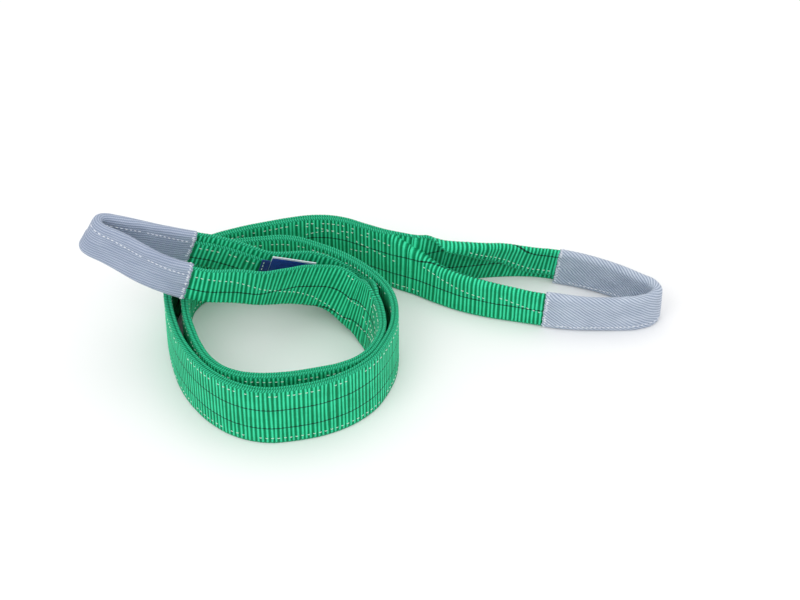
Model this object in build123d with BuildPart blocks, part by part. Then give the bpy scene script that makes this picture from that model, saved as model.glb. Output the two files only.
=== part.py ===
from build123d import *
import math
import os

# Flat duplex web sling, lying coiled on the floor with its web standing on edge.
# Millimetres. +Z is up, +X runs from the left lifting eye to the right one, and the
# origin is the centre of the whole sling's footprint on the floor.

# ---------------------------------------------------------------- driving dimensions
web_width = 60.0          # width of the woven web (the height of the coil on the floor)
ply = 3.0                 # thickness of one woven ply
ply_gap = 0.2             # space between the two plies, where the stitching pulls them together
duplex = 2 * ply + ply_gap

fold_height = 32.0        # height of the web where it is folded in half for an eye
fold_bar = 3.4            # web thickness left at the fold line
fold_slot = 0.4           # space between the two halves of a folded leg

sleeve_wall = 1.1         # woven protective sleeve
sleeve_slack = 0.25       # slack between web and sleeve
lift = sleeve_wall + sleeve_slack
sleeve_height = fold_height + 2 * lift
sleeve_half = duplex / 2 + lift

thread = 0.45             # how far a row of stitches stands on the web
row_height = 1.6          # band that one row of stitches covers
row_inset = 6.0           # rows run this far inside each woven edge
splice_rows = (21.0, 39.0)  # extra rows that bind the plies beside a fork

joint_gap = 3.4           # the web is parted by this much where it bends about a joint
eye_gap = 8.0             # the same, where both legs of the left eye bend together

deck = 1.0                # the left eye lies this far above the coil it crosses
eye_climb = 0.33          # beyond the coil the left eye goes on climbing at this slope
label_length = 38.0
label_height = 27.0
label_tilt = -18.0        # the label follows the rising leg
label_turn = 9.0
label_x, label_y, label_z = -97.3, 38.0, 47.0   # low corner of its sewn end

# ------------------------------------------------------------------ lines on the floor
# Middle of the two plies, from the fork of the left eye, twice round the coil and out
# along the tail to the fork of the right eye.
ring_line = [
    (-4.2, 9.3), (1.2, -10.7), (2.6, -31.2), (-1.4, -48.2), (-9.9, -64.7), (-19.9, -74.2), (-30.9, -80.2),
    (-52.0, -86.7), (-81.0, -92.4), (-99.0, -93.2), (-116.5, -90.5), (-128.9, -84.7), (-140.9, -73.2), (-151.9, -53.2),
    (-157.9, -36.2), (-162.9, -18.2), (-165.9, 2.8), (-167.8, 20.8), (-168.2, 37.8), (-165.4, 51.8), (-157.9, 63.8),
    (-145.9, 72.1), (-130.9, 76.8), (-116.0, 79.3), (-101.0, 81.3), (-87.0, 82.6), (-71.0, 79.8), (-55.5, 72.8),
    (-37.0, 62.8), (-18.9, 49.3), (-2.9, 32.3), (6.9, 16.3), (12.2, -2.7), (11.9, -27.2), (5.1, -50.7),
    (-5.4, -70.7), (-19.9, -85.7), (-41.0, -98.6), (-70.0, -107.6), (-93.0, -110.2), (-118.0, -103.4), (-138.4, -88.7),
    (-154.4, -69.2), (-166.9, -46.2), (-173.9, -25.2), (-178.9, -4.2), (-181.9, 19.8), (-179.9, 42.8), (-170.9, 63.8),
    (-149.9, 81.8), (-122.0, 94.3), (-96.0, 102.3), (-79.5, 106.8), (-61.5, 110.1), (-44.0, 109.8), (-29.9, 106.1),
    (-16.9, 99.8), (-2.9, 93.4), (11.1, 87.3), (25.1, 81.3),
]

# Middle of the folded web round the right eye, from the fork along the near leg, round
# the bight and back along the far leg.
right_loop = [
    (26.0, 79.2), (37.0, 74.3), (52.0, 65.8), (72.0, 55.8), (97.0, 47.3), (117.0, 41.8), (139.1, 35.8),
    (157.1, 32.1), (183.1, 29.8), (209.1, 29.8), (224.1, 31.3), (235.1, 35.8), (240.1, 43.8), (236.6, 51.8),
    (226.1, 59.3), (207.1, 71.8), (187.1, 81.8), (167.1, 89.8), (147.1, 95.3), (124.0, 97.3), (101.0, 95.3),
    (79.0, 90.3), (61.0, 85.8), (47.0, 83.8), (27.2, 82.1),
]

# The same for the left eye, which climbs over the coil.
left_loop = [
    (-5.8, 8.8), (-12.8, 20.6), (-21.9, 31.8), (-35.0, 39.3), (-49.0, 41.0), (-61.0, 38.1), (-73.0, 32.1),
    (-87.0, 23.3), (-102.0, 14.3), (-117.0, 7.1), (-131.9, 1.6), (-146.9, -1.9), (-160.9, -2.8), (-171.9, -2.3),
    (-182.9, -0.6), (-193.9, 2.4), (-204.9, 6.4), (-215.9, 11.0), (-226.9, 15.9), (-236.2, 19.9), (-239.3, 22.5),
    (-240.4, 26.3), (-238.5, 31.1), (-234.0, 33.3), (-225.9, 34.0), (-215.9, 34.8), (-202.9, 35.5), (-187.9, 35.7),
    (-172.9, 35.8), (-158.9, 37.0), (-144.9, 39.4), (-129.9, 41.8), (-115.0, 42.6), (-101.0, 43.6), (-87.0, 46.2),
    (-73.0, 50.2), (-59.0, 52.7), (-45.0, 51.3), (-34.0, 47.6), (-23.9, 41.2), (-14.6, 32.6), (-2.8, 9.8),
]


# ----------------------------------------------------------- smooth lines made of arcs
# A line is a chain of tangent arcs: (x, y, heading, curvature, length).
def unit(a, b):
    run = math.hypot(b[0] - a[0], b[1] - a[1])
    return ((b[0] - a[0]) / run, (b[1] - a[1]) / run)


def headings(points):
    found = [None] * len(points)
    for i in range(1, len(points) - 1):
        a, b, c = points[i - 1], points[i], points[i + 1]
        la, lb = math.dist(a, b), math.dist(b, c)
        ua, ub = unit(a, b), unit(b, c)
        found[i] = unit((0, 0), (ua[0] * lb + ub[0] * la, ua[1] * lb + ub[1] * la))
    for end, near, far in ((0, 1, 0), (-1, -2, -1)):
        a, b = (points[0], points[1]) if end == 0 else (points[-2], points[-1])
        chord = unit(a, b)
        t = found[near]
        dot = t[0] * chord[0] + t[1] * chord[1]
        found[end] = (2 * dot * chord[0] - t[0], 2 * dot * chord[1] - t[1])
    return found


def arc_between(start, heading, finish):
    cx, cy = finish[0] - start[0], finish[1] - start[1]
    chord = math.hypot(cx, cy)
    turn = math.atan2(heading[0] * cy - heading[1] * cx, heading[0] * cx + heading[1] * cy)
    stretch = turn / math.sin(turn) if abs(turn) > 1e-9 else 1.0
    return (start[0], start[1], math.atan2(heading[1], heading[0]), 2 * math.sin(turn) / chord, chord * stretch)


def smooth(points):
    """Two tangent arcs between each pair of points."""
    heading = headings(points)
    arcs = []
    for p, q, a, b in zip(points[:-1], points[1:], heading[:-1], heading[1:]):
        vx, vy = q[0] - p[0], q[1] - p[1]
        vt = vx * (a[0] + b[0]) + vy * (a[1] + b[1])
        vv = vx * vx + vy * vy
        m = 2 * (1 - (a[0] * b[0] + a[1] * b[1]))
        d = vv / (2 * vt) if m < 1e-9 else (-vt + math.sqrt(vt * vt + m * vv)) / m
        knee = ((p[0] + q[0] + d * (a[0] - b[0])) / 2, (p[1] + q[1] + d * (a[1] - b[1])) / 2)
        first = arc_between(p, a, knee)
        end_heading = first[2] + first[3] * first[4]
        arcs.append(first)
        arcs.append(arc_between(knee, (math.cos(end_heading), math.sin(end_heading)), q))
    return arcs


def along(arc, s):
    x, y, heading, curve, _ = arc
    if abs(curve) < 1e-9:
        return (x + s * math.cos(heading), y + s * math.sin(heading), heading)
    end = heading + curve * s
    return (x + (math.sin(end) - math.sin(heading)) / curve, y - (math.cos(end) - math.cos(heading)) / curve, end)


def run_length(arcs):
    return sum(arc[4] for arc in arcs)


def stretch_of(arcs, s0, s1):
    """The part of a line between two distances from its start."""
    kept, s = [], 0.0
    for arc in arcs:
        a, b = max(s0 - s, 0.0), min(s1 - s, arc[4])
        if b - a > 0.02:
            x, y, heading = along(arc, a)
            kept.append((x, y, heading, arc[3], b - a))
        s += arc[4]
    return kept


def point_at(arcs, s, side=0.0):
    for arc in arcs:
        if s <= arc[4]:
            break
        s -= arc[4]
    x, y, heading = along(arc, min(s, arc[4]))
    return (x - side * math.sin(heading), y + side * math.cos(heading), heading)


def nearest(arcs, x, y):
    """Distance along a line to its nearest point to (x, y)."""
    total = run_length(arcs)
    steps = int(total * 4)
    return min((math.dist(point_at(arcs, total * i / steps)[:2], (x, y)), total * i / steps) for i in range(steps + 1))[1]


def beside(arcs, side):
    """Start, middle and end of every arc, moved sideways (left of the run is plus)."""
    moved = []
    for arc in arcs:
        trio = []
        for s in (0.0, arc[4] / 2, arc[4]):
            x, y, heading = along(arc, s)
            trio.append((x - side * math.sin(heading), y + side * math.cos(heading)))
        moved.append(trio)
    return moved


def band(arcs, inner, outer):
    """Flat ribbon between two offsets of a line, as a sketch on the floor."""
    one, two = beside(arcs, inner), beside(arcs, outer)
    with BuildSketch() as ribbon:
        with BuildLine():
            for a, m, b in one:
                ThreePointArc(a, m, b)
            Line(one[-1][2], two[-1][2])
            for a, m, b in reversed(two):
                ThreePointArc(b, m, a)
            Line(two[0][0], one[0][0])
        make_face()
    return ribbon.sketch


ring = smooth(ring_line)
fork_right = ring_line[-1]
fork_left = ring_line[0]
ring_end = run_length(ring)

# the tail bends away from the coil here
tail_at = nearest(ring, -29.4, 106.1)
ring_run = stretch_of(ring, 0.2, tail_at - joint_gap / 2)
tail_run = stretch_of(ring, tail_at + joint_gap / 2, ring_end - joint_gap / 2)

half = duplex / 2
outer_side = (ply_gap / 2, half)
inner_side = (-half, -ply_gap / 2)

# ------------------------------------------------------------------------ the coil
with BuildPart() as ring_outer_ply:
    with BuildSketch(Plane.XY):
        add(band(ring_run, *outer_side))
    extrude(amount=web_width)
ring_outer_ply.part.label = "ring_outer_ply"

with BuildPart() as ring_inner_ply:
    with BuildSketch(Plane.XY):
        add(band(ring_run, *inner_side))
    extrude(amount=web_width)
ring_inner_ply.part.label = "ring_inner_ply"

# one row of stitches inside each woven edge, showing on both faces of the web
with BuildPart() as ring_edge_stitching:
    for row in (row_inset, web_width - row_inset):
        for low, high in ((half + 0.05, half + 0.05 + thread), (-half - 0.05 - thread, -half - 0.05)):
            with BuildSketch(Plane.XY.offset(row - row_height / 2)):
                add(band(ring_run, low, high))
            extrude(amount=row_height)
ring_edge_stitching.part.label = "ring_edge_stitching"

# ------------------------------------------------------------------------ the tail
with BuildPart() as tail_outer_ply:
    with BuildSketch(Plane.XY):
        add(band(tail_run, *outer_side))
    extrude(amount=web_width)
tail_outer_ply.part.label = "tail_outer_ply"

with BuildPart() as tail_inner_ply:
    with BuildSketch(Plane.XY):
        add(band(tail_run, *inner_side))
    extrude(amount=web_width)
tail_inner_ply.part.label = "tail_inner_ply"

with BuildPart() as tail_edge_stitching:
    for row in (row_inset, web_width - row_inset):
        for low, high in ((half + 0.05, half + 0.05 + thread), (-half - 0.05 - thread, -half - 0.05)):
            with BuildSketch(Plane.XY.offset(row - row_height / 2)):
                add(band(tail_run, low, high))
            extrude(amount=row_height)
tail_edge_stitching.part.label = "tail_edge_stitching"

# rows that bind the two plies together where the tail reaches the fork of the right eye
with BuildPart() as right_splice_stitching:
    for row in splice_rows:
        for low, high in ((half + 0.05, half + 0.05 + thread), (-half - 0.05 - thread, -half - 0.05)):
            with BuildSketch(Plane.XY.offset(row - row_height / 2)):
                add(band(stretch_of(ring, ring_end - 44.0, ring_end - 4.0), low, high))
            extrude(amount=row_height)
right_splice_stitching.part.label = "right_splice_stitching"

# ------------------------------------------------------------------- the right eye
# Each ply runs on alone from the fork. Within 70 mm the web folds in half lengthwise,
# so the loop is 32 mm high and two plies thick, and its fold line is at the top.
right = smooth(right_loop)
right_end = run_length(right)
right_mouth_near = nearest(right, 142.6, 34.8)
right_mouth_far = nearest(right, 156.6, 94.5)
x_fork = fork_right[0]

with BuildPart() as right_eye_web:
    with BuildSketch(Plane.XY.offset(lift)):
        add(band(right, -ply / 2, ply / 2))
        add(band(stretch_of(right, 18.0, right_end - 18.0), -half, half))
    extrude(amount=web_width - lift)
    # a thin slot parts the two halves of the folded web, open at the bottom
    with BuildSketch(Plane.XY.offset(lift)):
        add(band(stretch_of(right, 48.0, right_end - 48.0), -fold_slot / 2, fold_slot / 2))
    extrude(amount=fold_height - fold_bar, mode=Mode.SUBTRACT)
    # side view: the top edge falls from the full width to the folded height
    with BuildSketch(Plane.XZ):
        with BuildLine():
            Polyline(
                (x_fork - 20, 0), (400, 0), (400, lift + fold_height), (x_fork + 72, lift + fold_height),
                (x_fork + 8, web_width), (x_fork - 20, web_width), close=True,
            )
        make_face()
    extrude(amount=400, both=True, mode=Mode.INTERSECT)
right_eye_web.part.label = "right_eye_web"

with BuildPart() as right_eye_sleeve:
    with BuildSketch(Plane.XY):
        add(band(stretch_of(right, right_mouth_near, right_mouth_far), -sleeve_half, sleeve_half))
    extrude(amount=sleeve_height)
    with BuildSketch(Plane.XY.offset(sleeve_wall)):
        add(band(stretch_of(right, right_mouth_near - 1, right_mouth_far + 1), -half - sleeve_slack, half + sleeve_slack))
    extrude(amount=sleeve_height - 2 * sleeve_wall, mode=Mode.SUBTRACT)
right_eye_sleeve.part.label = "right_eye_sleeve"

# the seam that closes the sleeve runs near its lower edge
with BuildPart() as right_sleeve_seam:
    for low, high in ((sleeve_half + 0.05, sleeve_half + 0.05 + thread), (-sleeve_half - 0.05 - thread, -sleeve_half - 0.05)):
        with BuildSketch(Plane.XY.offset(5.0)):
            add(band(stretch_of(right, right_mouth_near + 5, right_mouth_far - 5), low, high))
        extrude(amount=row_height)
right_sleeve_seam.part.label = "right_sleeve_seam"

# a row of stitches beside each mouth holds the sleeve on the web
with BuildPart() as right_sleeve_mouth_stitching:
    for s in (right_mouth_near + 1.5, right_mouth_far - 1.5 - row_height):
        for low, high in ((sleeve_half + 0.05, sleeve_half + 0.05 + thread), (-sleeve_half - 0.05 - thread, -sleeve_half - 0.05)):
            with BuildSketch(Plane.XY.offset(3.0)):
                add(band(stretch_of(right, s, s + row_height), low, high))
            extrude(amount=sleeve_height - 6.0)
right_sleeve_mouth_stitching.part.label = "right_sleeve_mouth_stitching"

# -------------------------------------------------------------------- the left eye
# Its legs leave the fork inside the coil, climb across it and lie on its upper edges.
# The web folds in half with the fold line at the bottom.
left = smooth(left_loop)
left_end = run_length(left)
left_near = nearest(left, -156.4, -1.7)       # where the near leg bends, over the coil
left_far = nearest(left, -156.4, 36.6)        # the same on the far leg
level = web_width + deck                      # underside of the folded web on the coil
x_left = fork_left[0] - 13.0                  # the climb starts here
x_full = x_left - 80.0                        # the web is folded in half from here on
x_level = -147.9                              # and the climb eases here, on the coil's upper edges
near_knee = (-123.0, 55.0)                    # the near leg climbs sooner than the far one
far_knee = (-123.0, level * (x_left + 123.0) / (x_left - x_level))
x_tip = -260.0
steep = math.hypot(1.0, eye_climb)            # upright height of a web that lies along the climb


def under(knee, x):
    """Height of a leg's underside."""
    if x > knee[0]:
        return knee[1] * (x_left - x) / (x_left - knee[0])
    if x > x_level:
        return knee[1] + (level - knee[1]) * (knee[0] - x) / (knee[0] - x_level)
    return level + eye_climb * (x_level - x)


def leg_side(knee, low, high):
    """Corners, seen from the side, of a climbing leg between two heights above its underside."""
    low, high = low * steep, high * steep
    full = web_width - fold_height * steep
    return [
        (40, low), (x_left, low), (knee[0], knee[1] + low), (x_level, level + low), (x_tip, under(knee, x_tip) + low),
        (x_tip, under(knee, x_tip) + high), (x_level, level + high), (knee[0], knee[1] + high),
        (x_full, under(knee, x_full) + high), (x_left, high + full), (40, high + full),
    ]


def eye_side(low, high):
    """The same for the sleeved eye, whose two legs share one slope."""
    low, high = low * steep, high * steep
    x_in = x_level + 20.0
    return [
        (x_in, level - 20.0 * eye_climb + low), (x_tip, under(near_knee, x_tip) + low),
        (x_tip, under(near_knee, x_tip) + high), (x_in, level - 20.0 * eye_climb + high),
    ]


with BuildPart() as near_leg_slot:
    with BuildSketch(Plane.XY):
        add(band(stretch_of(left, 62.0, left_near), -fold_slot / 2, fold_slot / 2))
    extrude(amount=130)
    with BuildSketch(Plane.XZ):
        with BuildLine():
            Polyline(*leg_side(near_knee, fold_bar, fold_height + 12), close=True)
        make_face()
    extrude(amount=300, both=True, mode=Mode.INTERSECT)

with BuildPart() as left_eye_near_leg:
    with BuildSketch(Plane.XY):
        add(band(stretch_of(left, 0.0, left_near - eye_gap / 2), -ply / 2, ply / 2))
        add(band(stretch_of(left, 42.0, left_near - eye_gap / 2), -half, half))
    extrude(amount=130)
    with BuildSketch(Plane.XZ):
        with BuildLine():
            Polyline(*leg_side(near_knee, 0.0, fold_height), close=True)
        make_face()
    extrude(amount=300, both=True, mode=Mode.INTERSECT)
    add(near_leg_slot.part, mode=Mode.SUBTRACT)
left_eye_near_leg.part.label = "left_eye_near_leg"

with BuildPart() as far_leg_slot:
    with BuildSketch(Plane.XY):
        add(band(stretch_of(left, left_far, left_end - 62.0), -fold_slot / 2, fold_slot / 2))
    extrude(amount=130)
    with BuildSketch(Plane.XZ):
        with BuildLine():
            Polyline(*leg_side(far_knee, fold_bar, fold_height + 12), close=True)
        make_face()
    extrude(amount=300, both=True, mode=Mode.INTERSECT)

with BuildPart() as left_eye_far_leg:
    with BuildSketch(Plane.XY):
        add(band(stretch_of(left, left_far + eye_gap / 2, left_end), -ply / 2, ply / 2))
        add(band(stretch_of(left, left_far + eye_gap / 2, left_end - 42.0), -half, half))
    extrude(amount=130)
    with BuildSketch(Plane.XZ):
        with BuildLine():
            Polyline(*leg_side(far_knee, 0.0, fold_height), close=True)
        make_face()
    extrude(amount=300, both=True, mode=Mode.INTERSECT)
    add(far_leg_slot.part, mode=Mode.SUBTRACT)
left_eye_far_leg.part.label = "left_eye_far_leg"

with BuildPart() as left_splice_stitching:
    for row in splice_rows:
        for low, high in ((half + 0.05, half + 0.05 + thread), (-half - 0.05 - thread, -half - 0.05)):
            with BuildSketch(Plane.XY.offset(row - row_height / 2)):
                add(band(stretch_of(ring, 4.0, 74.0), low, high))
            extrude(amount=row_height)
left_splice_stitching.part.label = "left_splice_stitching"

left_mouth_near = left_near + eye_gap / 2 + 0.5
left_mouth_far = left_far - eye_gap / 2 - 0.5

with BuildPart() as eye_slot:
    with BuildSketch(Plane.XY):
        add(band(stretch_of(left, left_near, left_far), -fold_slot / 2, fold_slot / 2))
    extrude(amount=160)
    with BuildSketch(Plane.XZ):
        with BuildLine():
            Polyline(*eye_side(fold_bar, fold_height + 12), close=True)
        make_face()
    extrude(amount=300, both=True, mode=Mode.INTERSECT)

with BuildPart() as left_eye_web:
    with BuildSketch(Plane.XY):
        add(band(stretch_of(left, left_near + eye_gap / 2, left_far - eye_gap / 2), -half, half))
    extrude(amount=160)
    with BuildSketch(Plane.XZ):
        with BuildLine():
            Polyline(*eye_side(lift, lift + fold_height), close=True)
        make_face()
    extrude(amount=300, both=True, mode=Mode.INTERSECT)
    add(eye_slot.part, mode=Mode.SUBTRACT)
left_eye_web.part.label = "left_eye_web"

with BuildPart() as eye_cavity:
    with BuildSketch(Plane.XY):
        add(band(stretch_of(left, left_mouth_near - 1, left_mouth_far + 1), -half - sleeve_slack, half + sleeve_slack))
    extrude(amount=160)
    with BuildSketch(Plane.XZ):
        with BuildLine():
            Polyline(*eye_side(sleeve_wall, sleeve_height - sleeve_wall), close=True)
        make_face()
    extrude(amount=300, both=True, mode=Mode.INTERSECT)

with BuildPart() as left_eye_sleeve:
    with BuildSketch(Plane.XY):
        add(band(stretch_of(left, left_mouth_near, left_mouth_far), -sleeve_half, sleeve_half))
    extrude(amount=160)
    with BuildSketch(Plane.XZ):
        with BuildLine():
            Polyline(*eye_side(0, sleeve_height), close=True)
        make_face()
    extrude(amount=300, both=True, mode=Mode.INTERSECT)
    add(eye_cavity.part, mode=Mode.SUBTRACT)
left_eye_sleeve.part.label = "left_eye_sleeve"

# this sleeve's seam runs below its upper edge
with BuildPart() as left_sleeve_seam:
    for low, high in ((sleeve_half + 0.05, sleeve_half + 0.05 + thread), (-sleeve_half - 0.05 - thread, -sleeve_half - 0.05)):
        with BuildSketch(Plane.XY):
            add(band(stretch_of(left, left_mouth_near + 5, left_mouth_far - 5), low, high))
        extrude(amount=160)
    with BuildSketch(Plane.XZ):
        with BuildLine():
            Polyline(*eye_side(sleeve_height - 8.0, sleeve_height - 8.0 + row_height), close=True)
        make_face()
    extrude(amount=300, both=True, mode=Mode.INTERSECT)
left_sleeve_seam.part.label = "left_sleeve_seam"

with BuildPart() as left_sleeve_mouth_stitching:
    for s in (left_mouth_near + 1.5, left_mouth_far - 1.5 - row_height):
        for low, high in ((sleeve_half + 0.05, sleeve_half + 0.05 + thread), (-sleeve_half - 0.05 - thread, -sleeve_half - 0.05)):
            with BuildSketch(Plane.XY):
                add(band(stretch_of(left, s, s + row_height), low, high))
            extrude(amount=160)
    with BuildSketch(Plane.XZ):
        with BuildLine():
            Polyline(*eye_side(3.0, sleeve_height - 3.0), close=True)
        make_face()
    extrude(amount=300, both=True, mode=Mode.INTERSECT)
left_sleeve_mouth_stitching.part.label = "left_sleeve_mouth_stitching"

# ------------------------------------------------------------------------ the label
# It is sewn by one end to the near side of the far leg, and its free end flaps.
turn, tilt = math.radians(label_turn), math.radians(label_tilt)
label_way = (math.cos(turn) * math.cos(tilt), math.sin(turn) * math.cos(tilt), math.sin(tilt))
label_out = (math.sin(turn), -math.cos(turn), 0)
label_plane = Plane(origin=(label_x, label_y, label_z), x_dir=label_way, z_dir=label_out)

with BuildPart() as label_face:
    with BuildSketch(label_plane.offset(0.05)):
        with Locations((0.8, 0)):
            Rectangle(label_length, label_height, align=(Align.MIN, Align.MIN))
    extrude(amount=0.5)
label_face.part.label = "label_face"

with BuildPart() as label_backing:
    with BuildSketch(label_plane.offset(-0.5)):
        with Locations((0.8, 0)):
            Rectangle(label_length + 1.0, label_height + 0.8, align=(Align.MIN, Align.MIN))
    extrude(amount=0.5)
label_backing.part.label = "label_backing"

with BuildPart() as label_tab:
    with BuildSketch(label_plane.offset(-0.5)):
        with Locations((-0.4, 0)):
            Rectangle(8.5, label_height, align=(Align.MAX, Align.MIN))
    extrude(amount=1.1)
label_tab.part.label = "label_tab"

with BuildPart() as label_stitching:
    with BuildSketch(label_plane.offset(0.65)):
        with Locations((-2.2, 1.5), (-6.2, 1.5)):
            Rectangle(row_height / 2, label_height - 3.0, align=(Align.CENTER, Align.MIN))
    extrude(amount=thread)
label_stitching.part.label = "label_stitching"

# ---------------------------------------------------------------------------- files
os.makedirs("parts", exist_ok=True)
export_step(ring_outer_ply.part, "parts/ring_outer_ply.step")
export_step(ring_inner_ply.part, "parts/ring_inner_ply.step")
export_step(ring_edge_stitching.part, "parts/ring_edge_stitching.step")
export_step(left_eye_near_leg.part, "parts/left_eye_near_leg.step")
export_step(left_eye_far_leg.part, "parts/left_eye_far_leg.step")
export_step(left_splice_stitching.part, "parts/left_splice_stitching.step")
export_step(label_tab.part, "parts/label_tab.step")
export_step(label_stitching.part, "parts/label_stitching.step")
export_step(label_face.part, "parts/label_face.step")
export_step(label_backing.part, "parts/label_backing.step")
export_step(tail_outer_ply.part, "parts/tail_outer_ply.step")
export_step(tail_inner_ply.part, "parts/tail_inner_ply.step")
export_step(tail_edge_stitching.part, "parts/tail_edge_stitching.step")
export_step(right_splice_stitching.part, "parts/right_splice_stitching.step")
export_step(right_eye_web.part, "parts/right_eye_web.step")
export_step(right_eye_sleeve.part, "parts/right_eye_sleeve.step")
export_step(right_sleeve_seam.part, "parts/right_sleeve_seam.step")
export_step(right_sleeve_mouth_stitching.part, "parts/right_sleeve_mouth_stitching.step")
export_step(left_eye_web.part, "parts/left_eye_web.step")
export_step(left_eye_sleeve.part, "parts/left_eye_sleeve.step")
export_step(left_sleeve_seam.part, "parts/left_sleeve_seam.step")
export_step(left_sleeve_mouth_stitching.part, "parts/left_sleeve_mouth_stitching.step")

print("web length, mm:", round(run_length(ring) + (right_end + left_end) / 2))
print("ring", round(run_length(ring)), "right loop", round(right_end), "left loop", round(left_end))
for name, line, s in (("tail joint", ring, tail_at), ("left near", left, left_near), ("left far", left, left_far)):
    print(name, [round(v, 2) for v in point_at(line, s)])
whole = Compound(children=[p.part for p in (
    ring_outer_ply, left_eye_near_leg, left_eye_far_leg, left_eye_sleeve, left_sleeve_seam,
    left_sleeve_mouth_stitching, right_eye_sleeve, right_sleeve_seam, right_sleeve_mouth_stitching,
    ring_edge_stitching, tail_outer_ply)])
print("box", whole.bounding_box())
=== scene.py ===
import bpy
import math
import numpy as np
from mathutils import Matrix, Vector


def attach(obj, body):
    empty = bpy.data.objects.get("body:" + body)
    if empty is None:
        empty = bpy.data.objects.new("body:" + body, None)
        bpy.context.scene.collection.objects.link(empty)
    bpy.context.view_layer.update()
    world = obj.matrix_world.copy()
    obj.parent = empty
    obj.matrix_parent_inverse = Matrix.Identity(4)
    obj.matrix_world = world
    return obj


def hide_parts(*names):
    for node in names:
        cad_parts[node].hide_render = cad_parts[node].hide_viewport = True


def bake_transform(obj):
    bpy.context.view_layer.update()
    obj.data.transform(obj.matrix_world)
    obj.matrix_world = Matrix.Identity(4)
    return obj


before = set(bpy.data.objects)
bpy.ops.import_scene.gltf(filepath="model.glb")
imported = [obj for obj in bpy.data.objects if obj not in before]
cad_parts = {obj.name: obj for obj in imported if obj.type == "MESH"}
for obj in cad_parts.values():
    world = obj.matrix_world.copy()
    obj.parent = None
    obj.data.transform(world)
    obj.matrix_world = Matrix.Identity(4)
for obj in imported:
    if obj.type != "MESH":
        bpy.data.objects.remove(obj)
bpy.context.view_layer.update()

rng = np.random.RandomState(7)

# Everything below is drawn in millimetres, in the frame of the CAD, and stored in metres.
# ------------------------------------------------------------------ lines on the floor
ring_line = [
    (-4.2, 9.3), (1.2, -10.7), (2.6, -31.2), (-1.4, -48.2), (-9.9, -64.7), (-19.9, -74.2), (-30.9, -80.2),
    (-52.0, -86.7), (-81.0, -92.4), (-99.0, -93.2), (-116.5, -90.5), (-128.9, -84.7), (-140.9, -73.2), (-151.9, -53.2),
    (-157.9, -36.2), (-162.9, -18.2), (-165.9, 2.8), (-167.8, 20.8), (-168.2, 37.8), (-165.4, 51.8), (-157.9, 63.8),
    (-145.9, 72.1), (-130.9, 76.8), (-116.0, 79.3), (-101.0, 81.3), (-87.0, 82.6), (-71.0, 79.8), (-55.5, 72.8),
    (-37.0, 62.8), (-18.9, 49.3), (-2.9, 32.3), (6.9, 16.3), (12.2, -2.7), (11.9, -27.2), (5.1, -50.7),
    (-5.4, -70.7), (-19.9, -85.7), (-41.0, -98.6), (-70.0, -107.6), (-93.0, -110.2), (-118.0, -103.4), (-138.4, -88.7),
    (-154.4, -69.2), (-166.9, -46.2), (-173.9, -25.2), (-178.9, -4.2), (-181.9, 19.8), (-179.9, 42.8), (-170.9, 63.8),
    (-149.9, 81.8), (-122.0, 94.3), (-96.0, 102.3), (-79.5, 106.8), (-61.5, 110.1), (-44.0, 109.8), (-29.9, 106.1),
    (-16.9, 99.8), (-2.9, 93.4), (11.1, 87.3), (25.1, 81.3),
]
right_loop = [
    (26.0, 79.2), (37.0, 74.3), (52.0, 65.8), (72.0, 55.8), (97.0, 47.3), (117.0, 41.8), (139.1, 35.8),
    (157.1, 32.1), (183.1, 29.8), (209.1, 29.8), (224.1, 31.3), (235.1, 35.8), (240.1, 43.8), (236.6, 51.8),
    (226.1, 59.3), (207.1, 71.8), (187.1, 81.8), (167.1, 89.8), (147.1, 95.3), (124.0, 97.3), (101.0, 95.3),
    (79.0, 90.3), (61.0, 85.8), (47.0, 83.8), (27.2, 82.1),
]
left_loop = [
    (-5.8, 8.8), (-12.8, 20.6), (-21.9, 31.8), (-35.0, 39.3), (-49.0, 41.0), (-61.0, 38.1), (-73.0, 32.1),
    (-87.0, 23.3), (-102.0, 14.3), (-117.0, 7.1), (-131.9, 1.6), (-146.9, -1.9), (-160.9, -2.8), (-171.9, -2.3),
    (-182.9, -0.6), (-193.9, 2.4), (-204.9, 6.4), (-215.9, 11.0), (-226.9, 15.9), (-236.2, 19.9), (-239.3, 22.5),
    (-240.4, 26.3), (-238.5, 31.1), (-234.0, 33.3), (-225.9, 34.0), (-215.9, 34.8), (-202.9, 35.5), (-187.9, 35.7),
    (-172.9, 35.8), (-158.9, 37.0), (-144.9, 39.4), (-129.9, 41.8), (-115.0, 42.6), (-101.0, 43.6), (-87.0, 46.2),
    (-73.0, 50.2), (-59.0, 52.7), (-45.0, 51.3), (-34.0, 47.6), (-23.9, 41.2), (-14.6, 32.6), (-2.8, 9.8),
]

WEB = 60.0            # web width
PLY = 3.0             # one ply
OFF = 1.6             # middle of a ply from the middle of the two-ply web
PITCH = 3.55          # one rib
RIB = 0.32            # height of a rib


def unit(a, b):
    run = math.hypot(b[0] - a[0], b[1] - a[1])
    return ((b[0] - a[0]) / run, (b[1] - a[1]) / run)


def headings(points):
    found = [None] * len(points)
    for i in range(1, len(points) - 1):
        a, b, c = points[i - 1], points[i], points[i + 1]
        la, lb = math.dist(a, b), math.dist(b, c)
        ua, ub = unit(a, b), unit(b, c)
        found[i] = unit((0, 0), (ua[0] * lb + ub[0] * la, ua[1] * lb + ub[1] * la))
    for end, near in ((0, 1), (-1, -2)):
        a, b = (points[0], points[1]) if end == 0 else (points[-2], points[-1])
        chord = unit(a, b)
        t = found[near]
        dot = t[0] * chord[0] + t[1] * chord[1]
        found[end] = (2 * dot * chord[0] - t[0], 2 * dot * chord[1] - t[1])
    return found


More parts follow.
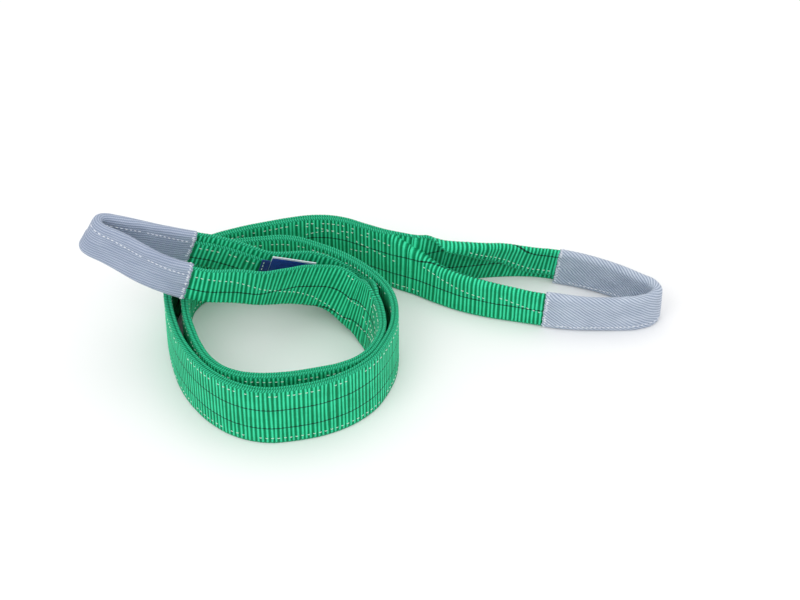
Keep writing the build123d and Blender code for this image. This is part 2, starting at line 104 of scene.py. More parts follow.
def arc_between(start, heading, finish):
    cx, cy = finish[0] - start[0], finish[1] - start[1]
    chord = math.hypot(cx, cy)
    turn = math.atan2(heading[0] * cy - heading[1] * cx, heading[0] * cx + heading[1] * cy)
    stretch = turn / math.sin(turn) if abs(turn) > 1e-9 else 1.0
    return (start[0], start[1], math.atan2(heading[1], heading[0]), 2 * math.sin(turn) / chord, chord * stretch)


def smooth(points):
    heading = headings(points)
    arcs = []
    for p, q, a, b in zip(points[:-1], points[1:], heading[:-1], heading[1:]):
        vx, vy = q[0] - p[0], q[1] - p[1]
        vt = vx * (a[0] + b[0]) + vy * (a[1] + b[1])
        vv = vx * vx + vy * vy
        m = 2 * (1 - (a[0] * b[0] + a[1] * b[1]))
        d = vv / (2 * vt) if m < 1e-9 else (-vt + math.sqrt(vt * vt + m * vv)) / m
        knee = ((p[0] + q[0] + d * (a[0] - b[0])) / 2, (p[1] + q[1] + d * (a[1] - b[1])) / 2)
        first = arc_between(p, a, knee)
        end_heading = first[2] + first[3] * first[4]
        arcs.append(first)
        arcs.append(arc_between(knee, (math.cos(end_heading), math.sin(end_heading)), q))
    return arcs


def run_length(arcs):
    return sum(arc[4] for arc in arcs)


def point_at(arcs, s, side=0.0):
    for arc in arcs:
        if s <= arc[4]:
            break
        s -= arc[4]
    x, y, heading, curve, length = arc
    s = min(s, length)
    if abs(curve) < 1e-9:
        x, y, end = x + s * math.cos(heading), y + s * math.sin(heading), heading
    else:
        end = heading + curve * s
        x, y = x + (math.sin(end) - math.sin(heading)) / curve, y - (math.cos(end) - math.cos(heading)) / curve
    return (x - side * math.sin(end), y + side * math.cos(end), end)


def nearest(arcs, x, y):
    total = run_length(arcs)
    steps = int(total * 4)
    return min((math.dist(point_at(arcs, total * i / steps)[:2], (x, y)), total * i / steps) for i in range(steps + 1))[1]


def ease(t):
    t = np.clip(t, 0.0, 1.0)
    return t * t * (3 - 2 * t)


def table(s, pairs, soft=7.0):
    """Value at s from (position, value) pairs, with the corners eased over a few millimetres."""
    xs = np.array([p[0] for p in pairs], float)
    ys = np.array([p[1] for p in pairs], float)
    s = np.asarray(s, float)
    step = min(soft, 0.35 * float(np.min(np.diff(xs))))
    total = 0.0
    for d, k in ((-2, 1), (-1, 3), (0, 4), (1, 3), (2, 1)):
        total = total + np.interp(s + d * step / 1.5, xs, ys) * k
    return total / 12.0


class Track:
    """A line on the floor, found by a running number along the web."""

    def __init__(self, runs, rounds=2):
        pts, par = [], []
        for p, q in runs:
            pts += p
            par += q
        self.par = np.array(par, float)
        xy = np.array(pts, float)
        for _ in range(rounds):
            inner = (xy[:-2] + 2 * xy[1:-1] + xy[2:]) / 4
            xy[1:-1] = inner
        self.xy = xy
        self.d = np.gradient(xy, self.par, axis=0)

    def at(self, s):
        s = np.asarray(s, float)
        x = np.interp(s, self.par, self.xy[:, 0])
        y = np.interp(s, self.par, self.xy[:, 1])
        dx = np.interp(s, self.par, self.d[:, 0])
        dy = np.interp(s, self.par, self.d[:, 1])
        low, high = self.par[0], self.par[-1]
        x = x + dx * (np.minimum(s - low, 0) + np.maximum(s - high, 0))
        y = y + dy * (np.minimum(s - low, 0) + np.maximum(s - high, 0))
        run = np.hypot(dx, dy)
        return x, y, dx / run, dy / run


def run_of(arcs, s0, s1, side=0.0, shift=0.0, flip=None):
    """Dense points of a stretch and their running numbers; flip=total runs it backwards."""
    n = max(3, int(abs(s1 - s0) / 1.0) + 1)
    ss = np.linspace(s0, s1, n)
    pts = [point_at(arcs, s, side)[:2] for s in ss]
    if flip is not None:
        par = [flip - s + shift for s in ss]
        return pts[::-1], par[::-1]
    return pts, [s + shift for s in ss]


ring = smooth(ring_line)
right = smooth(right_loop)
left = smooth(left_loop)
RING_END = run_length(ring)
RIGHT_END = run_length(right)
LEFT_END = run_length(left)
TAIL_AT = nearest(ring, -29.4, 106.1)
R_NEAR = nearest(right, 142.6, 34.8)
R_FAR = nearest(right, 156.6, 94.5)
L_NEAR = nearest(left, -156.4, -1.7) + 4.5
L_FAR = nearest(left, -156.4, 36.6) - 4.5
FORK_L = ring_line[0]

LEVEL = 61.0
X_LEFT = FORK_L[0] - 13.0
X_LEVEL = -147.9
CLIMB = 0.33


def under(knee, x):
    """Height of the underside of a climbing leg."""
    x = np.asarray(x, float)
    first = knee[1] * (X_LEFT - x) / (X_LEFT - knee[0])
    second = knee[1] + (LEVEL - knee[1]) * (knee[0] - x) / (knee[0] - X_LEVEL)
    third = LEVEL + CLIMB * (X_LEVEL - x)
    return np.where(x > X_LEFT, 0.0, np.where(x > knee[0], first, np.where(x > X_LEVEL, second, third)))


def soft_under(knee, x):
    """The same with its corners eased."""
    total = 0.0
    for d, k in ((-9, 1), (-6, 2), (-3, 3), (0, 4), (3, 3), (6, 2), (9, 1)):
        total = total + under(knee, np.asarray(x, float) + d) * k
    return total / 16.0


NEAR_KNEE = (-123.0, 55.0)
FAR_KNEE = (-123.0, LEVEL * (X_LEFT + 123.0) / (X_LEFT - X_LEVEL))


# ------------------------------------------------------------------------ the weave
# Every rib is a little different: width, place and height.
RIBS = 900
rib_shift = rng.normal(0, 0.05, RIBS)
rib_high = rng.normal(1.0, 0.10, RIBS)
rib_wave = rng.uniform(0, 6.28, RIBS)
rib_bend = rng.normal(0, 0.22, RIBS)
PROFILE = [(0.0, 0.0), (0.17, 0.38), (0.38, 0.95), (0.60, 1.0), (0.82, 0.42)]


def stations(s0, s1, coarse_from=None):
    """Running numbers of the cross-sections: five to a rib, starting and ending in a groove."""
    k0, k1 = int(round(s0 / PITCH)), int(round(s1 / PITCH))
    s, h, k = [], [], []
    for i in range(k0, k1):
        for u, high in PROFILE:
            s.append((i + u) * PITCH)
            h.append(high)
            k.append(i)
    s.append(k1 * PITCH)
    h.append(0.0)
    k.append(k1)
    return np.array(s), np.array(h), np.array(k)


def web_sections(fold_a, fold_r, flap, side, shares):
    """Midline of a ply across its width for each cross-section, as (sideways, up, w, slope).

    The main layer starts at its woven edge; the rest turns over by fold_a on a radius fold_r."""
    n = len(fold_a)
    main_n, arc_n, flap_n = shares
    edge = 1.15
    arc_len = np.maximum(fold_a * fold_r, 2.5)
    bend = fold_a / arc_len
    tight = np.maximum(bend, 1e-6)
    main_len = WEB - arc_len - flap
    a = np.zeros((n, main_n + arc_n + flap_n))
    b = np.zeros_like(a)
    w = np.zeros_like(a)
    th = np.zeros_like(a)
    for j in range(main_n):
        w[:, j] = edge + (main_len - edge) * j / main_n
        b[:, j] = w[:, j]
    for j in range(arc_n + flap_n):
        q = arc_len * min(1.0, j / arc_n)
        turn = bend * q
        u = (flap - edge) * (j - arc_n) / (flap_n - 1) if j >= arc_n else np.zeros(n)
        i = main_n + j
        th[:, i] = turn
        w[:, i] = main_len + q + u
        a[:, i] = np.where(turn < 1e-3, 0.5 * bend * q * q, (1 - np.cos(turn)) / tight) + np.sin(turn) * u
        b[:, i] = main_len + np.where(turn < 1e-3, q, np.sin(turn) / tight) + np.cos(turn) * u
    return a * side, b, w, th


class Ribbon:
    """One ply of web laid along a track. shape(s) gives the cross-sections, place(s) the frame."""

    def __init__(self, track, place, fold=None, side=1, flip=False):
        self.track, self.place, self.fold, self.side, self.flip = track, place, fold, side, flip

    def cross(self, s, shares):
        """Midline and its normals for stations s: arrays (stations, points)."""
        s = np.asarray(s, float)
        if self.fold is None:
            fa, fr, fl = np.zeros_like(s), np.full_like(s, 3.0), np.full_like(s, 20.0)
        else:
            fa, fr, fl = self.fold(s)
        a, b, w, th = web_sections(fa, fr, fl, self.side, shares)
        a = a - self.side * (fr * fa / math.pi)[:, None]
        # normals point to the outside of the fold
        na = -np.cos(th) * self.side
        nb = np.sin(th)
        high = b.max(axis=1) + PLY / 2 * np.sin(np.clip(fa, 0, math.pi / 2)) + 1.15 * np.cos(np.clip(fa, 0, math.pi / 2))
        return a, b, w, th, na, nb, high

    def frame(self, s, high):
        x, y, tx, ty = self.track.at(s)
        centre_z, lean_x, lean_n, shift = self.place(s, x, y, high)
        n = np.stack([-ty, tx, np.zeros_like(tx)], 1)
        x, y = x - ty * shift, y + tx * shift
        up = np.stack([lean_x, np.zeros_like(tx), np.ones_like(tx)], 1) + n * lean_n[:, None]
        up /= np.linalg.norm(up, axis=1)[:, None]
        side = n - up * (n * up).sum(1)[:, None]
        side /= np.linalg.norm(side, axis=1)[:, None]
        along = np.stack([tx, ty, np.zeros_like(tx)], 1)
        along -= up * (along * up).sum(1)[:, None]
        along /= np.linalg.norm(along, axis=1)[:, None]
        return np.stack([x, y, centre_z], 1), up, side, along

    def heights(self, b, high):
        r = b - high[:, None] / 2
        return -r if self.flip else r

    def surface(self, s, w, face, off):
        """Points at stations s and widths w, off millimetres above the middle of the ply."""
        s = np.asarray(s, float)
        a, b, ww, th, na, nb, high = self.cross(s, (12, 9, 12))
        c, up, side, _ = self.frame(s, high)
        out = np.zeros((len(s), 3))
        nrm = np.zeros((len(s), 3))
        wa = np.broadcast_to(np.asarray(w, float), s.shape)
        hb = self.heights(b, high)
        nbb = -nb if self.flip else nb
        for i in range(len(s)):
            ai = np.interp(wa[i], ww[i], a[i])
            bi = np.interp(wa[i], ww[i], hb[i])
            ni = np.interp(wa[i], ww[i], na[i]) * face
            mi = np.interp(wa[i], ww[i], nbb[i]) * face
            nv = side[i] * ni + up[i] * mi
            nv /= np.linalg.norm(nv)
            nrm[i] = nv
            out[i] = c[i] + side[i] * ai + up[i] * bi + nv * off
        return out, nrm


def new_object(name, verts, faces, mats, smooth_faces=True):
    mesh = bpy.data.meshes.new(name)
    mesh.from_pydata([tuple(v) for v in (np.asarray(verts) / 1000.0).tolist()], [], faces)
    mesh.update()
    obj = bpy.data.objects.new(name, mesh)
    bpy.context.scene.collection.objects.link(obj)
    for m in mats if isinstance(mats, (list, tuple)) else [mats]:
        mesh.materials.append(m)
    if smooth_faces:
        mesh.polygons.foreach_set("use_smooth", [True] * len(mesh.polygons))
    return obj


def add_uv(obj, u, v, name="UVMap"):
    mesh = obj.data
    layer = mesh.uv_layers.new(name=name)
    idx = np.zeros(len(mesh.loops), np.int32)
    mesh.loops.foreach_get("vertex_index", idx)
    uv = np.stack([np.asarray(u)[idx], np.asarray(v)[idx]], 1).astype(np.float32)
    layer.data.foreach_set("uv", uv.ravel())


def add_float(obj, name, values):
    att = obj.data.attributes.new(name, "FLOAT", "POINT")
    att.data.foreach_set("value", np.asarray(values, np.float32))


def web_mesh(name, ribbon, s0, s1, mat, shares=(9, 7, 9), phase=0.0, hidden_flat=False, relief=1.0, ply=PLY):
    """A closed mesh of one ply, ribbed on its faces."""
    s, h, k = stations(s0 - phase, s1 - phase)
    s = s + phase
    k = k % RIBS
    a, b, w, th, na, nb, high = ribbon.cross(s, shares)
    c, up, side, along = ribbon.frame(s, high)
    hb = ribbon.heights(b, high)
    nbb = -nb if ribbon.flip else nb
    n, m = a.shape
    edge_fade = ease((w - 0.9) / 1.6) * ease((WEB - 0.9 - w) / 1.6)
    lump = h[:, None] * rib_high[k][:, None] * (1 + 0.12 * np.sin(w * 0.9 + rib_wave[k][:, None]))
    shift = (rib_shift[k][:, None] * PITCH + rib_bend[k][:, None] * np.sin(w / 17.0 + rib_wave[k][:, None])) * (0.25 + 0.75 * edge_fade)
    shift[0] = 0
    shift[-1] = 0
    lump[0] = 0
    lump[-1] = 0
    disp = RIB * relief * (lump * edge_fade - 0.55 * edge_fade)
    base = c[:, None, :] + side[:, None, :] * a[..., None] + up[:, None, :] * hb[..., None] + along[:, None, :] * shift[..., None]
    nv = side[:, None, :] * na[..., None] + up[:, None, :] * nbb[..., None]
    one = base + nv * (ply / 2 + disp)[..., None]
    two = base - nv * (ply / 2 + (disp * (0.0 if hidden_flat else 1.0)))[..., None]
    # rounded woven edges
    first_dir = (base[:, 0] - base[:, 1])
    first_dir /= np.linalg.norm(first_dir, axis=1)[:, None]
    last_dir = (base[:, -1] - base[:, -2])
    last_dir /= np.linalg.norm(last_dir, axis=1)[:, None]
    pulse = 0.10 * np.sin(s * 2 * math.pi / PITCH * 1.0 + 0.6) * (h > -1)
    pulse[0] = 0
    pulse[-1] = 0
    rim = []
    for d, e, nn in ((last_dir, -1, nv[:, -1]), (first_dir, 0, nv[:, 0])):
        ring_pts = []
        for q in (0.30, 0.5, 0.70):
            ang = q * math.pi
            reach = 1.15 * math.sin(ang) + pulse * math.sin(ang)
            lat = ply / 2 * math.cos(ang) * 0.97
            ring_pts.append(base[:, e] + d * reach[:, None] + nn * lat)
        rim.append(ring_pts)
    loop = [one[:, j] for j in range(m)] + rim[0] + [two[:, j] for j in range(m - 1, -1, -1)] + rim[1][::-1]
    wl = [w[:, j] for j in range(m)] + [w[:, -1] + 0.5, w[:, -1] + 0.9, w[:, -1] + 0.5] + [w[:, j] for j in range(m - 1, -1, -1)] + [w[:, 0] - 0.5, w[:, 0] - 0.9, w[:, 0] - 0.5]
    K = len(loop)
    V = np.stack(loop, 1)
    WL = np.stack(wl, 1)
    if ribbon.flip:
        WL = WEB - WL
    HL = np.repeat(h[:, None], K, 1)
    SL = np.repeat(s[:, None], K, 1)
    faces = []
    fold_side = ribbon.side * (-1 if ribbon.flip else 1)
    for i in range(n - 1):
        p, q = i * K, (i + 1) * K
        for j in range(K):
            j2 = (j + 1) % K
            faces.append((p + j, q + j, q + j2, p + j2))
    # ends: quads between the two faces
    for base_i, rev in ((0, False), ((n - 1) * K, True)):
        pairs = [(j, 2 * m + 2 - j) for j in range(m)]
        for (j, jj), (l, ll) in zip(pairs[:-1], pairs[1:]):
            f = (base_i + j, base_i + l, base_i + ll, base_i + jj)
            faces.append(f[::-1] if rev else f)
        f = (base_i + m - 1, base_i + m, base_i + m + 1, base_i + m + 2, base_i + m + 3)
        faces.append(f[::-1] if rev else f)
        f = (base_i + 2 * m + 3, base_i + 2 * m + 4, base_i + 2 * m + 5, base_i + 0, base_i + 2 * m + 2)
        faces.append(f[::-1] if rev else f)
    flipped = fold_side < 0
    if flipped:
        faces = [f[::-1] for f in faces]
    obj = new_object(name, V.reshape(-1, 3), faces, mat)
    add_uv(obj, SL.ravel() / 1000, WL.ravel() / 1000)
    add_float(obj, "rib", np.clip(HL.ravel(), 0, 1))
    fix_normals(obj)
    return obj


def fix_normals(obj):
    """Turn a closed mesh the right way out if its volume comes out negative."""
    mesh = obj.data
    co = np.zeros(len(mesh.vertices) * 3)
    mesh.vertices.foreach_get("co", co)
    co = co.reshape(-1, 3)
    vol = 0.0
    mesh.calc_loop_triangles()
    tri = np.zeros(len(mesh.loop_triangles) * 3, np.int32)
    mesh.loop_triangles.foreach_get("vertices", tri)
    tri = tri.reshape(-1, 3)
    vol = np.einsum("ij,ij->i", co[tri[:, 0]], np.cross(co[tri[:, 1]], co[tri[:, 2]])).sum()
    if vol < 0:
        mesh.flip_normals()
    return obj


# --------------------------------------------------------------------------- threads
def thread_mesh(name, stitches, mat, radius=0.5):
    """Separate stitches, each a short thread whose ends dive into the cloth.

    A stitch is (points along it, normals there)."""
    verts, faces = [], []
    sides = 6
    for pts, nrm in stitches:
        pts, nrm = np.asarray(pts), np.asarray(nrm)
        n = len(pts)
        tang = np.gradient(pts, axis=0)
        tang /= np.linalg.norm(tang, axis=1)[:, None]
        bi = np.cross(tang, nrm)
        bi /= np.linalg.norm(bi, axis=1)[:, None]
        nn = np.cross(bi, tang)
        start = len(verts)
        grow = [0.55] + [1.0] * (n - 2) + [0.55]
        for i in range(n):
            for q in range(sides):
                ang = 2 * math.pi * q / sides
                verts.append(pts[i] + (bi[i] * math.cos(ang) * 1.12 + nn[i] * math.sin(ang) * 0.8) * radius * grow[i])
        for i in range(n - 1):
            for q in range(sides):
                q2 = (q + 1) % sides
                faces.append((start + i * sides + q, start + i * sides + q2, start + (i + 1) * sides + q2, start + (i + 1) * sides + q))
        faces.append(tuple(start + q for q in range(sides - 1, -1, -1)))
        faces.append(tuple(start + (n - 1) * sides + q for q in range(sides)))
    obj = new_object(name, np.array(verts), faces, mat)
    fix_normals(obj)
    return obj


def row(ribbon, s0, s1, w, face, pitch=4.9, length=2.7, skip=0.16, wander=0.35, lift=0.12, seed=1, first=0.0):
    """Stitches of one row on a ribbon: w is a number or a function of s."""
    r = np.random.RandomState(seed)
    found = []
    s = s0 + first
    drift = r.uniform(0, 6.28)
    while s + length < s1:
        ln = length * r.uniform(0.82, 1.1)
        here = w(s + ln / 2) if callable(w) else w
        here = here + wander * math.sin(s / 31.0 + drift) + r.normal(0, 0.10)
        if r.rand() > skip:
            ss = np.linspace(s, s + ln, 5)
            ww = np.array([(w(q) if callable(w) else w) for q in ss]) - ((w(s + ln / 2)) if callable(w) else w) + here
            pts, nrm = ribbon.surface(ss, ww, face, PLY / 2)
            rise = np.array([-0.55, 0.10, 0.22, 0.10, -0.55]) + lift * r.uniform(0.5, 1.2)
            found.append((pts + nrm * rise[:, None], nrm))
        s += pitch * r.uniform(0.94, 1.06)
    return found


# ------------------------------------------------------------------------- materials
def lin(r, g, b):
    out = []
    for c in (r, g, b):
        c /= 255.0
        out.append(c / 12.92 if c <= 0.04045 else ((c + 0.055) / 1.055) ** 2.4)
    return (*out, 1.0)


class Mat:
    """A small helper that builds a node material."""

    def __init__(self, name):
        self.mat = bpy.data.materials.new(name)
        self.mat.use_nodes = True
        self.nt = self.mat.node_tree
        self.n = self.nt.nodes
        self.bsdf = self.n["Principled BSDF"]

    def node(self, kind, **props):
        nd = self.n.new(kind)
        for k, v in props.items():
            setattr(nd, k, v)
        return nd

    def link(self, a, b):
        self.nt.links.new(a, b)

    def math(self, op, a, b=None, c=None, clamp=False):
        nd = self.node("ShaderNodeMath", operation=op, use_clamp=clamp)
        for i, v in enumerate((a, b, c)):
            if v is None:
                continue
            if isinstance(v, (int, float)):
                nd.inputs[i].default_value = v
            else:
                self.link(v, nd.inputs[i])
        return nd.outputs[0]

    def uv(self):
        tex = self.node("ShaderNodeUVMap", uv_map="UVMap")
        sep = self.node("ShaderNodeSeparateXYZ")
        self.link(tex.outputs[0], sep.inputs[0])
        s = self.math("MULTIPLY", sep.outputs[0], 1000.0)
        w = self.math("MULTIPLY", sep.outputs[1], 1000.0)
        return tex.outputs[0], s, w

    def combine(self, x, y, z=0.0):
        nd = self.node("ShaderNodeCombineXYZ")
        for i, v in enumerate((x, y, z)):
            if isinstance(v, (int, float)):
                nd.inputs[i].default_value = v
            else:
                self.link(v, nd.inputs[i])
        return nd.outputs[0]

    def noise(self, vec, scale, detail=2.0, rough=0.5):
        nd = self.node("ShaderNodeTexNoise")
        nd.inputs["Scale"].default_value = scale
        nd.inputs["Detail"].default_value = detail
        nd.inputs["Roughness"].default_value = rough
        if vec is not None:
            self.link(vec, nd.inputs["Vector"])
        return nd.outputs[0]

    def ramp(self, fac, stops):
        nd = self.node("ShaderNodeValToRGB")
        el = nd.color_ramp.elements
        while len(el) < len(stops):
            el.new(0.5)
        for e, (p, c) in zip(el, stops):
            e.position = p
            e.color = c
        self.link(fac, nd.inputs[0])
        return nd.outputs[0]

    def mix(self, fac, a, b, blend="MIX"):
        nd = self.node("ShaderNodeMix", data_type="RGBA", blend_type=blend)
        for sock, v in ((nd.inputs[0], fac), (nd.inputs[6], a), (nd.inputs[7], b)):
            if isinstance(v, (int, float)):
                sock.default_value = v
            elif isinstance(v, tuple):
                sock.default_value = v
            else:
                self.link(v, sock)
        return nd.outputs[2]

    def band(self, value, centre, half, soft):
        """1 near centre, falling to 0."""
        d = self.math("ABSOLUTE", self.math("SUBTRACT", value, centre))
        nd = self.node("ShaderNodeMapRange", interpolation_type="SMOOTHSTEP")
        self.link(d, nd.inputs["Value"])
        nd.inputs["From Min"].default_value = half
        nd.inputs["From Max"].default_value = half + soft
        nd.inputs["To Min"].default_value = 1.0
        nd.inputs["To Max"].default_value = 0.0
        return nd.outputs[0]

    def bump(self, height, distance, strength=1.0, normal=None):
        nd = self.node("ShaderNodeBump")
        nd.inputs["Strength"].default_value = strength
        nd.inputs["Distance"].default_value = distance
        self.link(height, nd.inputs["Height"])
        if normal is not None:
            self.link(normal, nd.inputs["Normal"])
        return nd.outputs[0]


# groove, low and high are the ramp colours: painted shade in the grooves, the middle tone, and a painted highlight on
# the rib tops
def web_material(name, groove=(0, 118, 74), low=(4, 158, 106), high=(66, 232, 176), seed=0.0):
    m = Mat(name)
    tex, s, w = m.uv()
    rib = m.node("ShaderNodeAttribute", attribute_name="rib").outputs["Fac"]
    # yarns of each rib run across the web; warp threads cross them
    yarn_vec = m.combine(m.math("MULTIPLY", s, 2.6), m.math("MULTIPLY", w, 0.22), seed)
    yarn = m.noise(yarn_vec, 1.0, 3.0, 0.6)
    warp = m.math("SINE", m.math("MULTIPLY", w, 2 * math.pi / 1.15))
    cell = m.math("FLOOR", m.math("DIVIDE", s, PITCH))
    flip = m.math("SUBTRACT", m.math("MULTIPLY", m.math("MODULO", cell, 2.0), 2.0), 1.0)
    weave = m.math("MULTIPLY", warp, flip)
    patch = m.noise(m.combine(m.math("MULTIPLY", s, 0.035), m.math("MULTIPLY", w, 0.06), seed + 4.0), 1.0, 3.0, 0.6)
    speck = m.noise(m.combine(m.math("MULTIPLY", s, 0.9), m.math("MULTIPLY", w, 1.1), seed + 8.0), 1.0, 2.0, 0.7)
    # the rib height sets the colour: painted shade in the grooves and a painted highlight on the rib tops, on top of
    # the real relief, yarn noise and random patches
    level = m.math("POWER", rib, 1.5)
    level = m.math("MULTIPLY", level, m.math("ADD", 0.70, m.math("MULTIPLY", yarn, 0.60)))
    level = m.math("ADD", level, m.math("MULTIPLY", m.math("SUBTRACT", speck, 0.5), 0.35))
    level = m.math("ADD", level, m.math("MULTIPLY", m.math("SUBTRACT", patch, 0.5), 0.55), clamp=True)
    level = m.math("ADD", level, m.math("MULTIPLY", weave, 0.045), clamp=True)
    col = m.ramp(level, [(0.0, lin(*groove)), (0.42, lin(*low)), (1.0, lin(*high))])
    # woven edges: finer, braided, a little duller
    edge = m.math("MAXIMUM", m.band(w, 0.0, 1.5, 0.5), m.band(w, WEB, 1.5, 0.5))
    braid = m.math("SINE", m.math("ADD", m.math("MULTIPLY", s, 2 * math.pi / 2.1), m.math("MULTIPLY", w, 3.3)))
    braid2 = m.math("ADD", 0.5, m.math("MULTIPLY", braid, 0.5))
    edge_col = m.mix(braid2, lin(4, 122, 82), lin(54, 206, 154))
    col = m.mix(edge, col, edge_col)
    # two dark marker threads woven along the web, buried by the ribs here and there
    wander = m.math("MULTIPLY", m.math("SUBTRACT", m.noise(m.combine(m.math("MULTIPLY", s, 0.035), 0.0, seed + 20.0), 1.0, 2.0, 0.5), 0.5), 1.6)
    ww = m.math("ADD", w, wander)
    marker = m.math("MAXIMUM", m.band(ww, 17.5, 0.42, 0.25), m.band(ww, 38.0, 0.42, 0.25))
    hide = m.math("SUBTRACT", 1.25, m.math("MULTIPLY", rib, 0.50))
    gap = m.noise(m.combine(m.math("MULTIPLY", s, 0.30), 0.0, seed + 31.0), 1.0, 2.0, 0.5)
    marker = m.math("MULTIPLY", marker, hide)
    marker = m.math("MULTIPLY", marker, m.math("MULTIPLY", m.math("SUBTRACT", gap, 0.26), 5.0, clamp=True), clamp=True)
    col = m.mix(marker, col, lin(8, 26, 22))
    m.link(col, m.bsdf.inputs["Base Color"])
    fine = m.math("ADD", m.math("MULTIPLY", yarn, 0.9), m.math("MULTIPLY", weave, 0.28))
    fine = m.math("ADD", fine, m.math("MULTIPLY", m.math("MULTIPLY", braid, edge), 0.8))
    m.link(m.bump(fine, 0.00035, 0.8), m.bsdf.inputs["Normal"])
    rough = m.math("ADD", 0.50, m.math("MULTIPLY", yarn, 0.2))
    m.link(rough, m.bsdf.inputs["Roughness"])
    m.bsdf.inputs["Specular IOR Level"].default_value = 0.14
    m.bsdf.inputs["Sheen Weight"].default_value = 0.02
    m.bsdf.inputs["Sheen Roughness"].default_value = 0.4
    return m.mat


def sleeve_material(name, angle, base=(150, 162, 186), dark=(96, 108, 138), light=(196, 206, 224), seed=0.0, pitch=2.35):
    """Close twill of a blue-grey sleeve; angle is that of its lines from the length of the sleeve."""
    m = Mat(name)
    tex, s, c = m.uv()
    ca, sa = math.cos(math.radians(angle)), math.sin(math.radians(angle))
    bend = m.math("MULTIPLY", m.noise(m.combine(m.math("MULTIPLY", s, 0.07), m.math("MULTIPLY", c, 0.07), seed), 1.0, 2.0, 0.5), 2.2)
    across = m.math("ADD", m.math("SUBTRACT", m.math("MULTIPLY", c, ca), m.math("MULTIPLY", s, sa)), bend)
    along = m.math("ADD", m.math("MULTIPLY", s, ca), m.math("MULTIPLY", c, sa))
    line = m.math("SINE", m.math("MULTIPLY", across, 2 * math.pi / pitch))
    knot = m.math("SINE", m.math("ADD", m.math("MULTIPLY", along, 2 * math.pi / 1.5), m.math("MULTIPLY", across, 2 * math.pi / pitch * 0.5)))
    twill = m.math("ADD", m.math("MULTIPLY", line, 0.5), 0.5)
    grain = m.noise(m.combine(m.math("MULTIPLY", s, 1.6), m.math("MULTIPLY", c, 1.6), seed + 3.0), 1.0, 2.0, 0.7)
    patch = m.noise(m.combine(m.math("MULTIPLY", s, 0.05), m.math("MULTIPLY", c, 0.07), seed + 9.0), 1.0, 3.0, 0.6)
    level = m.math("ADD", m.math("MULTIPLY", m.math("POWER", twill, 0.8), 0.62), m.math("MULTIPLY", knot, 0.07))
    level = m.math("ADD", level, m.math("MULTIPLY", m.math("SUBTRACT", grain, 0.35), 0.55))
    level = m.math("ADD", level, m.math("MULTIPLY", m.math("SUBTRACT", patch, 0.5), 0.45), clamp=True)
    col = m.ramp(level, [(0.0, lin(*dark)), (0.5, lin(*base)), (1.0, lin(*light))])
    m.link(col, m.bsdf.inputs["Base Color"])
    fine = m.math("ADD", m.math("MULTIPLY", line, 0.6), m.math("ADD", m.math("MULTIPLY", knot, 0.25), m.math("MULTIPLY", grain, 0.5)))
    m.link(m.bump(fine, 0.00030, 0.9), m.bsdf.inputs["Normal"])
    m.link(m.math("ADD", 0.52, m.math("MULTIPLY", grain, 0.2)), m.bsdf.inputs["Roughness"])
    m.bsdf.inputs["Specular IOR Level"].default_value = 0.35
    m.bsdf.inputs["Sheen Weight"].default_value = 0.18
    m.bsdf.inputs["Sheen Roughness"].default_value = 0.4
    return m.mat


def thread_material():
    m = Mat("sewing_thread")
    co = m.node("ShaderNodeTexCoord").outputs["Object"]
    twist = m.node("ShaderNodeTexWave", wave_type="BANDS", bands_direction="DIAGONAL")
    twist.inputs["Scale"].default_value = 900.0
    m.link(co, twist.inputs["Vector"])
    grain = m.noise(co, 600.0, 2.0, 0.6)
    lv = m.math("ADD", m.math("MULTIPLY", twist.outputs["Fac"], 0.35), m.math("MULTIPLY", grain, 0.65))
    m.link(m.ramp(lv, [(0.0, lin(150, 214, 184)), (0.5, lin(206, 236, 222)), (1.0, lin(236, 248, 242))]), m.bsdf.inputs["Base Color"])
    m.link(m.bump(lv, 0.0001, 0.6), m.bsdf.inputs["Normal"])
    m.bsdf.inputs["Roughness"].default_value = 0.55
    return m.mat


def grey_thread_material():
    m = Mat("sleeve_thread")
    co = m.node("ShaderNodeTexCoord").outputs["Object"]
    grain = m.noise(co, 700.0, 2.0, 0.6)
    m.link(m.ramp(grain, [(0.2, lin(205, 212, 226)), (0.8, lin(250, 251, 254))]), m.bsdf.inputs["Base Color"])
    m.link(m.bump(grain, 0.0001, 0.6), m.bsdf.inputs["Normal"])
    m.bsdf.inputs["Roughness"].default_value = 0.55
    return m.mat


def label_material(name, dark, base, light, weave=0.7, rough=0.45):
    m = Mat(name)
    tex, s, w = m.uv()
    a = m.math("SINE", m.math("MULTIPLY", s, 2 * math.pi / weave))
    b = m.math("SINE", m.math("MULTIPLY", w, 2 * math.pi / weave))
    cloth = m.math("MULTIPLY", a, b)
    grain = m.noise(m.combine(m.math("MULTIPLY", s, 0.5), m.math("MULTIPLY", w, 0.5), 2.0), 1.0, 3.0, 0.6)
    lv = m.math("ADD", m.math("MULTIPLY", cloth, 0.10), grain, clamp=True)
    m.link(m.ramp(lv, [(0.15, lin(*dark)), (0.5, lin(*base)), (0.9, lin(*light))]), m.bsdf.inputs["Base Color"])
    m.link(m.bump(m.math("ADD", cloth, grain), 0.00012, 0.7), m.bsdf.inputs["Normal"])
    m.link(m.math("ADD", rough, m.math("MULTIPLY", grain, 0.15)), m.bsdf.inputs["Roughness"])
    return m.mat


WEB_MAT = web_material("green_web")
WEB_MAT_B = web_material("green_web_loops", seed=50.0)
THREAD = thread_material()
SLEEVE_THREAD = grey_thread_material()
SLEEVE_L = sleeve_material("sleeve_left", -6.0, base=(156, 168, 190), dark=(124, 138, 164), light=(198, 208, 224), seed=1.0, pitch=2.3)
SLEEVE_R = sleeve_material("sleeve_right", 35.0, base=(176, 188, 206), dark=(124, 138, 162), light=(222, 230, 240), seed=6.0)
LABEL_BLUE = label_material("label_blue", (0, 34, 104), (2, 52, 140), (22, 84, 176))
LABEL_TAB = label_material("label_tab", (0, 26, 88), (2, 42, 120), (16, 66, 150))
LABEL_WHITE = label_material("label_white", (198, 206, 220), (232, 238, 246), (252, 253, 255))


